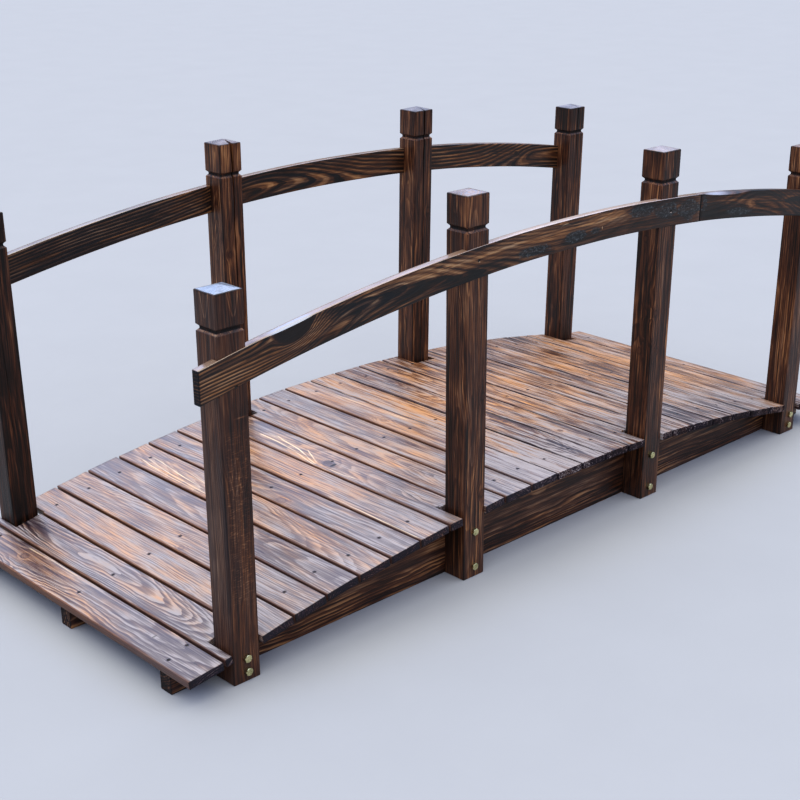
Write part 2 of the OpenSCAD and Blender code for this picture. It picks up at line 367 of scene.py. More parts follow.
    pale, dark = 0.0, 0.0
    for pts, wide, k in strokes:
        u0, u1 = pts[0][0], pts[-1][0]
        bend = t.ramp(t.mad(ou, 1.0 / (u1 - u0), -u0 / (u1 - u0)), [((pu - u0) / (u1 - u0), ((pv + 50.0) / 100.0,) * 3) for pu, pv in pts], "B_SPLINE")
        off = t.m("ABSOLUTE", t.add(t.mad(mid_n, 4.0, ov), t.mad(t.sep(bend)[0], -100.0, 50.0)))
        taper = t.mul(t.step(ou, u0, u0 + 16.0), t.step(ou, u1, u1 - 16.0))
        stroke = t.mul(t.mul(t.step(off, wide * 1.3, wide * 0.5), taper), t.mad(streak, 2.4, abs(k)))
        if k > 0:
            pale = t.m("MAXIMUM", pale, stroke)
        else:
            dark = t.m("MAXIMUM", dark, stroke)
    # painted shade: each pit is a hole drawn dark on the surface, as the mesh has no hole there
    for pu, pv, hu, hv, k in pits:
        d = t.v("MULTIPLY", t.v("SUBTRACT", p, (pu, pv, 0.0)), (1.0 / hu, 1.0 / hv, 0.0))
        far = t.mad(fibre, 0.9, t.mad(mid_n, 1.2, t.v("LENGTH", d)))
        dark = t.m("MAXIMUM", dark, t.step(far, 1.15, 0.8, 0.0, k))

    for du_, dv_ in dots:
        near_dot = t.v("LENGTH", t.v("MULTIPLY", t.v("SUBTRACT", p, (du_, dv_, 0.0)), (1.0, 1.0, 0.0)))
        tone = t.mad(t.step(near_dot, 7.0, 3.6), -0.45, tone)
    if scratches:                                       # fine marks across the grain on the outer face
        z0, z1, amount = scratches
        marks = t.noise(s, (2.2, 13.0, 60.0), 2.0, 0.6)
        here = t.mul(t.mul(t.step(ou, z0 - 30, z0 + 20), t.step(ou, z1 + 60, z1)), t.step(ow, -31.0, -31.6))
        here = t.mul(here, t.step(t.m("ABSOLUTE", ov), 30.0, 20.0))
        tone = t.mad(t.mul(t.m("MAXIMUM", t.add(marks, -0.02), 0.0), here), amount, tone)

    for axis, c, u0, u1, half_w, dt, gaps in seams:      # a thin line along the grain, dark or light, on the faces across the axis
        across = t.add(t.mad(mid_n, 7.0, ov if axis == "v" else ow), -c)
        across = t.mad(slow, 10.0, across)
        seam = t.step(t.m("ABSOLUTE", across), half_w * 1.3, half_w * 0.5)
        seam = t.mul(seam, t.mul(t.step(t.mad(blotch, 60.0, ou), u0 - 8, u0 + 8), t.step(t.mad(blotch, 60.0, ou), u1 + 8, u1 - 8)))
        seam = t.mul(seam, t.step(t.m("ABSOLUTE", ow if axis == "v" else ov), 29.5, 31.0))
        if gaps:
            seam = t.mul(seam, t.step(fibre, gaps - 0.22, gaps - 0.10))
        tone = t.mad(seam, dt, tone)

    for q, light in knot_d:
        inside = t.step(q, 1.18 if path else 1.15, 0.94 if path else 0.75, 0.0, 0.92 if path else bold)
        rings = t.m("SINE", t.mad(q, 15.0, t.mul(fibre, 9.0)))
        own = t.mad(rings, 0.05 if path else 0.10, light)
        tone = t.mad(t.sub(own, tone), inside, tone)
        far = t.mul(t.add(q, -1.0), 3.6)
        rim = t.m("EXPONENT", t.mul(t.mul(far, far), -1.0))
        tone = t.mad(t.mul(rim, t.mad(mid_n, 3.0, 1.0)), 0.0 if path else -0.17, tone)
        redness = t.mad(t.m("EXPONENT", t.mul(t.mul(q, q), -0.10)), 0.2 if path else 0.6, redness)

    if look["groove"] and cap is not None:              # painted shade in the groove round the head, darkest on its inner wall and lighter on its upper chamfer; the lower lip is painted paler, partly worn raw wood and partly a painted highlight where it faces up
        low = t.add(ou, -(cap - GROOVE_DROP))
        inside = t.mul(t.step(low, 6.8, 5.6), t.step(low, -3.6, -2.2))
        tone = t.mad(t.mul(inside, t.step(low, 2.2, 3.2, 1.0, 0.45)), -0.42, tone)
        lip = t.mul(t.step(t.m("ABSOLUTE", t.add(low, 4.6)), 1.9, 0.9), t.step(t.mad(fibre, 0.5, mid_n), -0.10, 0.04))
        tone = t.mad(lip, lip_wear_and_highlight, tone)
    shine = 0.0
    if look.get("top"):                                 # the varnish on the upper face is worn pale and shines
        worn_tone, cool = look["top"]
        facing = t.sep(t.nt.nodes.new("ShaderNodeNewGeometry").outputs["Normal"])[2]
        shine = t.mul(t.step(facing, 0.35, 0.80), t.mad(t.add(blotch, mid_n), 0.9, 0.90))
        shine = t.m("MAXIMUM", t.m("MINIMUM", shine, 1.0), 0.0)
        for pu, hu, k in dulls:
            shine = t.mul(shine, t.step(t.m("ABSOLUTE", t.add(t.mad(blotch, 80.0, ou), -pu)), hu, hu * 0.7, 1.0, 1.0 - k))
        tone = t.mad(t.m("MAXIMUM", t.sub(worn_tone + 0.45, tone), 0.0), shine, tone)
        redness = t.mad(shine, cool, redness)
    if cap is not None:                                 # varnished end grain on top of a post
        top = t.step(ou, cap - 1.0, cap + 0.6)
        circles = t.mad(mid_n, 1.0, t.mad(blotch, 0.6, t.mul(t.add(ridge, -0.4), 0.55)))
        rim = t.step(t.mad(mid_n, 6.0, t.m("MAXIMUM", t.m("ABSOLUTE", ov), t.m("ABSOLUTE", ow))), 28.2, 30.6)
        tone = t.mad(t.sub(t.mad(rim, -0.45, t.add(0.62, circles)), tone), top, tone)
        # a cap tint below 0 paints the top of the post bluer, a painted sky reflection
        redness = t.mad(t.sub(cap_red, redness), top, redness)
        speck = t.noise(s, (6.0, 3.2, 3.2), 2.0, 0.6)
        uneven_shine = t.mad(speck, 1.1, t.mad(streak, 0.5, t.mad(blotch, 0.5, t.mad(mid_n, 0.6, 1.06 * cap_shine))))
        shine = t.mul(top, t.m("ADD", t.mad(ridge, -0.62, uneven_shine), t.mul(rim, -0.9), clamp=True))

    colour = t.ramp(tone, look["stops"])
    redness = t.m("MAXIMUM", t.m("MINIMUM", redness, 1.5), -1.9)
    # redness above 0 tints the colour toward red-tan, the wood's own hue; below 0 it paints a blue-violet sky sheen
    # into the colour
    tint = t.comb(t.mad(redness, 0.14, 1.0), t.m("MINIMUM", t.mad(redness, -0.02 if look["green"] > 1.0 else -0.05, look["green"]), look["green"] + 0.02), t.mad(redness, -0.27, 1.0))
    colour = t.v("MULTIPLY", colour, tint)
    if not isinstance(pale, float):
        colour = t.v("ADD", t.v("SCALE", colour, scale=t.sub(1.0, pale)), t.v("SCALE", (0.86, 0.66, 0.40), scale=pale))
    if not isinstance(dark, float):
        colour = t.v("SCALE", colour, scale=t.sub(1.0, dark))
    if cap is not None:                                 # the end grain is washed with a weathered grey, and where that wash is blue it is a painted sky reflection
        grey = t.mul(top, t.mul(t.sub(1.0, rim), cap_weather_and_sky))
        colour = t.v("ADD", t.v("SCALE", colour, scale=t.sub(1.0, grey)),
                     t.v("SCALE", cap_weather_and_sky_colour, scale=t.mul(grey, t.mad(circles, 1.2, 1.0))))
    if flakes:                                          # thick char that flakes off in grey scales
        scale = t.noise(s, (9, 5, 5), 4.0, 0.72)
        patch = 0.0
        for fu, fv, hu, hv in flakes:
            d = t.v("MULTIPLY", t.v("SUBTRACT", bent, (fu, fv, 0.0)), (1.0 / hu, 1.0 / hv, 0.0))
            g = t.m("EXPONENT", t.mul(t.v("DOT_PRODUCT", d, d), -1.0))
            patch = t.m("MAXIMUM", patch, t.step(t.mad(streak, 0.8, t.mad(scale, 0.5, g)), 0.34, 0.50))
        patch = t.mul(patch, t.sub(1.0, shine))
        colour = t.v("ADD", t.v("SCALE", colour, scale=t.mad(patch, -0.8, 1.0)),
                     t.v("SCALE", (0.26, 0.30, 0.31), scale=t.mul(patch, t.m("MAXIMUM", t.mad(scale, 1.6, 0.03), 0.03))))
    if pales:
        for blue, shade_ in ((False, (0.56, 0.43, 0.36)), (True, (0.27, 0.33, 0.43))):
            worn = 0.0
            for pu, hu, k, *cold in pales:
                if bool(cold) == blue:                      # worn pale brown, and, for those tagged blue, a painted blue-grey sky reflection
                    worn = t.m("MAXIMUM", worn, t.mul(t.step(t.m("ABSOLUTE", t.add(t.mad(blotch, 20.0 if blue else 60.0, ou), -pu)), hu, hu * 0.6), k))
            if not isinstance(worn, float):
                worn = t.mul(worn, t.mul(shine, t.mad(fibre, 1.2, 0.9)))
                if blue:                                    # the painted sky reflection lies on the wane and the outer part of the top beside it
                    worn = t.mul(worn, t.m("MAXIMUM", t.step(facing, 0.93, 0.86), t.mul(t.step(t.mad(mid_n, 10.0, ow), -7.0, -3.0), 0.75)))
                colour = t.v("ADD", t.v("SCALE", colour, scale=t.sub(1.0, worn)), t.v("SCALE", shade_, scale=worn))
    t.put(bsdf.inputs["Base Color"], colour)

    rough = t.mad(fibre, look["rough_var"], t.mad(blotch, 0.35, look["rough"]))
    rough = t.mad(edge, 0.10, rough)
    if look["groove"] and cap is not None:
        rough = t.mad(inside, 0.35, rough)
    if look["end"]:
        rough = t.mad(end, 0.4, rough)
    rough = t.m("MINIMUM", t.m("MAXIMUM", rough, 0.16), 0.85)
    t.put(bsdf.inputs["Roughness"], rough)
    bsdf.inputs["IOR"].default_value = look["ior"] if sky > 0.7 else 1.32
    if cap is not None or look.get("top"):
        t.put(bsdf.inputs["Coat Weight"], shine)
        bsdf.inputs["Coat Roughness"].default_value = 0.18
        bsdf.inputs["Coat IOR"].default_value = 2.1
    elif look["coat"]:                                  # the varnish lies thickest where the wood is burnt
        thick = t.m("MAXIMUM", t.m("MINIMUM", t.mad(tone, look["coat"][1], look["coat"][0] * sky), 1.0), 0.0)
        if look["end"]:
            thick = t.mul(thick, t.sub(1.0, t.m("MAXIMUM", end, painted_lit_edge)))
        if not isinstance(dark, float):
            thick = t.mul(thick, t.mad(dark, -0.9, 1.0))
        t.put(bsdf.inputs["Coat Weight"], thick)
        bsdf.inputs["Coat Roughness"].default_value = look["coat_rough"]
        bsdf.inputs["Coat IOR"].default_value = 1.5

    relief = t.mad(ridge, look["bump"], t.mul(fibre, look["fibre_bump"] * 4.0))
    relief = t.mad(mid_n, 0.8, relief)
    bump = t.nt.nodes.new("ShaderNodeBump")
    bump.inputs["Strength"].default_value = 1.0
    bump.inputs["Distance"].default_value = 0.001
    t.put(bump.inputs["Height"], relief)
    t.put(bsdf.inputs["Normal"], bump.outputs[0])
    return mat


def steel(name, pale, dull, rough, speck=0.5):
    """Plated or blackened steel, cloudy, from the piece's own coordinates."""
    mat, t, bsdf = new_material(name)
    co = t.nt.nodes.new("ShaderNodeTexCoord").outputs["Object"]
    mm = t.v("SCALE", co, scale=1000.0)
    cloud = t.noise(mm, (9, 9, 9), 3.0, 0.6)
    fine = t.noise(mm, (1.3, 1.3, 1.3), 2.0, 0.6)
    k = t.m("ADD", t.mad(cloud, 1.9, 0.5), t.mul(fine, speck), clamp=True)
    t.put(bsdf.inputs["Base Color"], t.ramp(k, [(0.0, dull), (1.0, pale)]))
    bsdf.inputs["Metallic"].default_value = 1.0
    t.put(bsdf.inputs["Roughness"], t.mad(fine, 0.4, rough))
    bump = t.nt.nodes.new("ShaderNodeBump")
    bump.inputs["Strength"].default_value = 0.5
    bump.inputs["Distance"].default_value = 0.0003
    t.put(bump.inputs["Height"], fine)
    t.put(bsdf.inputs["Normal"], bump.outputs[0])
    return mat


# ---------------------------------------------------------------- mesh helpers
def link(mesh, name):
    obj = bpy.data.objects.new(name, mesh)
    bpy.context.scene.collection.objects.link(obj)
    return obj


def raw_mesh(name, verts, faces):
    me = bpy.data.meshes.new(name)
    me.from_pydata([tuple(map(float, p)) for p in verts], [], [tuple(map(int, f)) for f in faces])
    me.validate()
    return me


def carve(mesh, cutter):
    """mesh less cutter, both in the timber's own coordinates."""
    a, b = link(mesh, "tmp_a"), link(cutter, "tmp_b")
    mod = a.modifiers.new("cut", "BOOLEAN")
    mod.operation, mod.solver, mod.object = "DIFFERENCE", "EXACT", b
    dg = bpy.context.evaluated_depsgraph_get()
    cut = bpy.data.meshes.new_from_object(a.evaluated_get(dg))
    bpy.data.objects.remove(a)
    bpy.data.objects.remove(b)
    return cut


def coords(mesh):
    co = np.empty(len(mesh.vertices) * 3)
    mesh.vertices.foreach_get("co", co)
    return co.reshape(-1, 3)


def finish_piece(name, mesh, place, material, node=None, bend=None, smooth_deg=32.0):
    """Stores the timber's own coordinates on the mesh, moves it to its place and hangs it on the frame."""
    bm = bmesh.new()
    bm.from_mesh(mesh)
    bmesh.ops.remove_doubles(bm, verts=bm.verts, dist=1e-4)
    bmesh.ops.dissolve_degenerate(bm, edges=bm.edges, dist=1e-4)
    loose = [x for x in bm.verts if not x.link_faces]
    bmesh.ops.delete(bm, geom=loose, context="VERTS")
    bmesh.ops.triangulate(bm, faces=[f for f in bm.faces if len(f.verts) > 4])
    bmesh.ops.recalc_face_normals(bm, faces=bm.faces)
    bm.to_mesh(mesh)
    bm.free()
    own = coords(mesh)
    gc = mesh.attributes.get("gc") or mesh.attributes.new("gc", "FLOAT_VECTOR", "POINT")
    gc.data.foreach_set("vector", own.astype(np.float32).ravel())
    moved = place(bend(own) if bend else own) / 1000.0
    mesh.vertices.foreach_set("co", moved.astype(np.float32).ravel())
    mesh.update()
    mesh.shade_smooth()
    mesh.set_sharp_from_angle(angle=math.radians(smooth_deg))
    mesh.materials.clear()
    mesh.materials.append(material)
    mesh.name = name
    obj = link(mesh, name)
    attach(obj, "root")
    if node:
        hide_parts(node)
    return obj


def waves(p, seed, size, amount):
    """Smooth waviness of a few mm, the same each run."""
    rng = np.random.default_rng(seed)
    out = np.zeros(len(p))
    for k in range(5):
        f = rng.normal(size=3) / np.asarray(size) * (1.0 + 0.6 * k)
        out += np.sin(p @ f + rng.uniform(0, 6.283)) / (1.0 + 0.5 * k)
    return out * amount / 2.2


def loft(rings, closed_ends=True):
    """Rings of points with the same count joined by quads, with the ends closed."""
    n = len(rings[0])
    verts = np.concatenate(rings)
    faces = []
    for k in range(len(rings) - 1):
        a, b = k * n, (k + 1) * n
        for j in range(n):
            i = (j + 1) % n
            faces.append((a + j, a + i, b + i, b + j))
    if closed_ends:
        faces.append(tuple(range(n - 1, -1, -1)))
        faces.append(tuple(range(len(verts) - n, len(verts))))
    return verts, faces


def round_rect(hx, hy, radii, sides=(6, 6), arc=3):
    """Outline of a rectangle about 0 with rounded corners, counterclockwise from the lower left.
    radii are for the corners at (-,-), (+,-), (+,+), (-,+)."""
    pts = []
    corners = [(-hx, -hy), (hx, -hy), (hx, hy), (-hx, hy)]
    start = [math.pi, 1.5 * math.pi, 0.0, 0.5 * math.pi]
    for k in range(4):
        cx, cy = corners[k]
        r = radii[k]
        ox, oy = cx - math.copysign(r, cx), cy - math.copysign(r, cy)
        for j in range(arc + 1):
            a = start[k] + 0.5 * math.pi * j / arc
            pts.append((ox + r * math.cos(a), oy + r * math.sin(a)))
        nx, ny = corners[(k + 1) % 4]
        rn = radii[(k + 1) % 4]
        ex, ey = nx - math.copysign(rn, nx), ny - math.copysign(rn, ny)
        a1 = start[(k + 1) % 4]
        tx, ty = ex + rn * math.cos(a1), ey + rn * math.sin(a1)
        fx, fy = pts[-1]
        count = sides[k % 2]
        for j in range(1, count):
            pts.append((fx + (tx - fx) * j / count, fy + (ty - fy) * j / count))
    return np.array(pts)


# ---------------------------------------------------------------- deck
def board_place(i):
    """From a board's own coordinates (u across the bridge, v towards +x, w up from its top) to the frame."""
    a = board_angle(i)

    def arc_place(p):
        u, v, w = p[:, 0], p[:, 1], p[:, 2]
        return np.stack([(DECK_R + w) * math.sin(a) + v * math.cos(a), u,
                         DECK_ZC + (DECK_R + w) * math.cos(a) - v * math.sin(a)], 1)

    def end_place(p):
        u, v, w = p[:, 0], p[:, 1], p[:, 2]
        s = 1.0 if i == 25 else -1.0
        out = BOARD_W / 2 + s * v
        return np.stack([s * (TIP_X + out * math.cos(END_TILT) + w * math.sin(END_TILT)), u,
                         TIP_Z - out * math.sin(END_TILT) + w * math.cos(END_TILT)], 1)

    return end_place if i in (1, 25) else arc_place


def board_outline(i):
    """A board seen from above, in its own coordinates, with its corners cut out round the posts."""
    hu, hv = BOARD_LEN / 2, BOARD_W / 2
    a = board_angle(i)
    un = POST_IN - NOTCH_BACK
    left, right = None, None
    if 1 < i < 25:
        for px in POST_X:
            lo = (px - POST_W / 2 - NOTCH_SIDE - (DECK_R - BOARD_T / 2) * math.sin(a)) / math.cos(a)
            hi = (px + POST_W / 2 + NOTCH_SIDE - (DECK_R - BOARD_T / 2) * math.sin(a)) / math.cos(a)
            if hi > -hv + 0.5 and lo < hv - 0.5:
                if lo <= -hv:
                    left = hi
                else:
                    right = lo
    pts = []
    lo_v, hi_v = (left if left is not None else -hv), (right if right is not None else hv)
    if left is not None:
        pts += [(-hu, lo_v), (-un, lo_v), (-un, -hv), (un, -hv), (un, lo_v), (hu, lo_v)]
    else:
        pts += [(-hu, -hv), (hu, -hv)]
    if right is not None:
        pts += [(hu, hi_v), (un, hi_v), (un, hv), (-un, hv), (-un, hi_v), (-hu, hi_v)]
    else:
        pts += [(hu, hv), (-hu, hv)]
    return pts


NAIL_ROWS = (-384.0, 3.0, 391.0)


def nail_spots(i):
    rng = np.random.default_rng(400 + i)
    if i == 1:
        return [(-374.0, -23.0), (-361.0, 34.0), (7.0, 3.0), (388.0, 22.0)]
    return [(y + rng.uniform(-4, 4), rng.uniform(-5, 5)) for y in NAIL_ROWS]


def board_bend(i):
    """The small cup, twist and waviness of one board."""
    rng = np.random.default_rng(70 + i)
    cup, bow, twist, crook = rng.uniform(-0.5, 0.9), rng.uniform(-0.5, 0.5), rng.uniform(-0.6, 0.6), rng.uniform(-0.8, 0.8)
    slip, lift = rng.uniform(-1.6, 1.6), rng.uniform(-0.2, 0.2)

    def bend(p):
        u, v, w = p[:, 0], p[:, 1], p[:, 2]
        out = p.copy()
        out[:, 2] += cup * ((v / 44.5) ** 2 - 0.4) + bow * (1 - (u / 473.0) ** 2) + twist * u * v / 473.0 / 44.5 + lift
        out[:, 2] += waves(p, 900 + i, (160, 40, 60), 0.22)
        out[:, 1] += crook * (1 - (u / 473.0) ** 2) - crook * 0.5 + waves(p, 950 + i, (120, 400, 60), 0.35)
        out[:, 0] += slip
        return out

    return bend


def disc(cx, cy, z0, z1, r, sides, turn=0.0):
    pts = [(cx + r * math.cos(turn + 2 * math.pi * k / sides), cy + r * math.sin(turn + 2 * math.pi * k / sides)) for k in range(sides)]
    return [np.array([(x, y, z) for x, y in pts]) for z in (z0, z1)]


def many(parts):
    """One list of points and faces out of several."""
    verts, faces, base = [], [], 0
    for v, f in parts:
        verts.append(v)
        faces += [tuple(x + base for x in g) for g in f]
        base += len(v)
    return np.concatenate(verts), faces


def board_mesh(i):
    outline = board_outline(i)
    n = len(outline)
    bm = bmesh.new()
    low = [bm.verts.new((u, v, -BOARD_T)) for u, v in outline]
    top = [bm.verts.new((u, v, 0.0)) for u, v in outline]
    bm.faces.new(low[::-1])
    bm.faces.new(top)
    for k in range(n):
        j = (k + 1) % n
        bm.faces.new((low[k], low[j], top[j], top[k]))
    bm.normal_update()
    bm.edges.ensure_lookup_table()
    convex = [e for e in bm.edges if e.calc_face_angle_signed(0.0) > 0.5]
    bmesh.ops.bevel(bm, geom=convex, offset=1.8, segments=3, profile=0.5, affect="EDGES", clamp_overlap=True)
    me = bpy.data.meshes.new("board")
    bm.to_mesh(me)
    bm.free()
    parts = []
    for nu, nv in nail_spots(i):
        a = disc(nu, nv, -1.5, -0.9, 3.5, 12)
        b = disc(nu, nv, -0.2, 1.0, 4.1, 12)
        parts.append(loft([a[0], a[1], b[0], disc(nu, nv, 0.6, 2.0, 4.9, 12)[1]]))
    v, f = many(parts)
    me = carve(me, raw_mesh("cut", v, f))
    bm = bmesh.new()
    bm.from_mesh(me)
    for u in np.arange(-462.0, 463.0, 22.0):
        bmesh.ops.bisect_plane(bm, geom=bm.verts[:] + bm.edges[:] + bm.faces[:], plane_co=(u + 0.37, 0, 0), plane_no=(1, 0, 0), dist=1e-5)
    for v in (-30.3, -15.1, 0.17, 15.4, 30.2):
        bmesh.ops.bisect_plane(bm, geom=bm.verts[:] + bm.edges[:] + bm.faces[:], plane_co=(0, v, 0), plane_no=(0, 1, 0), dist=1e-5)
    bm.to_mesh(me)
    bm.free()
    return me


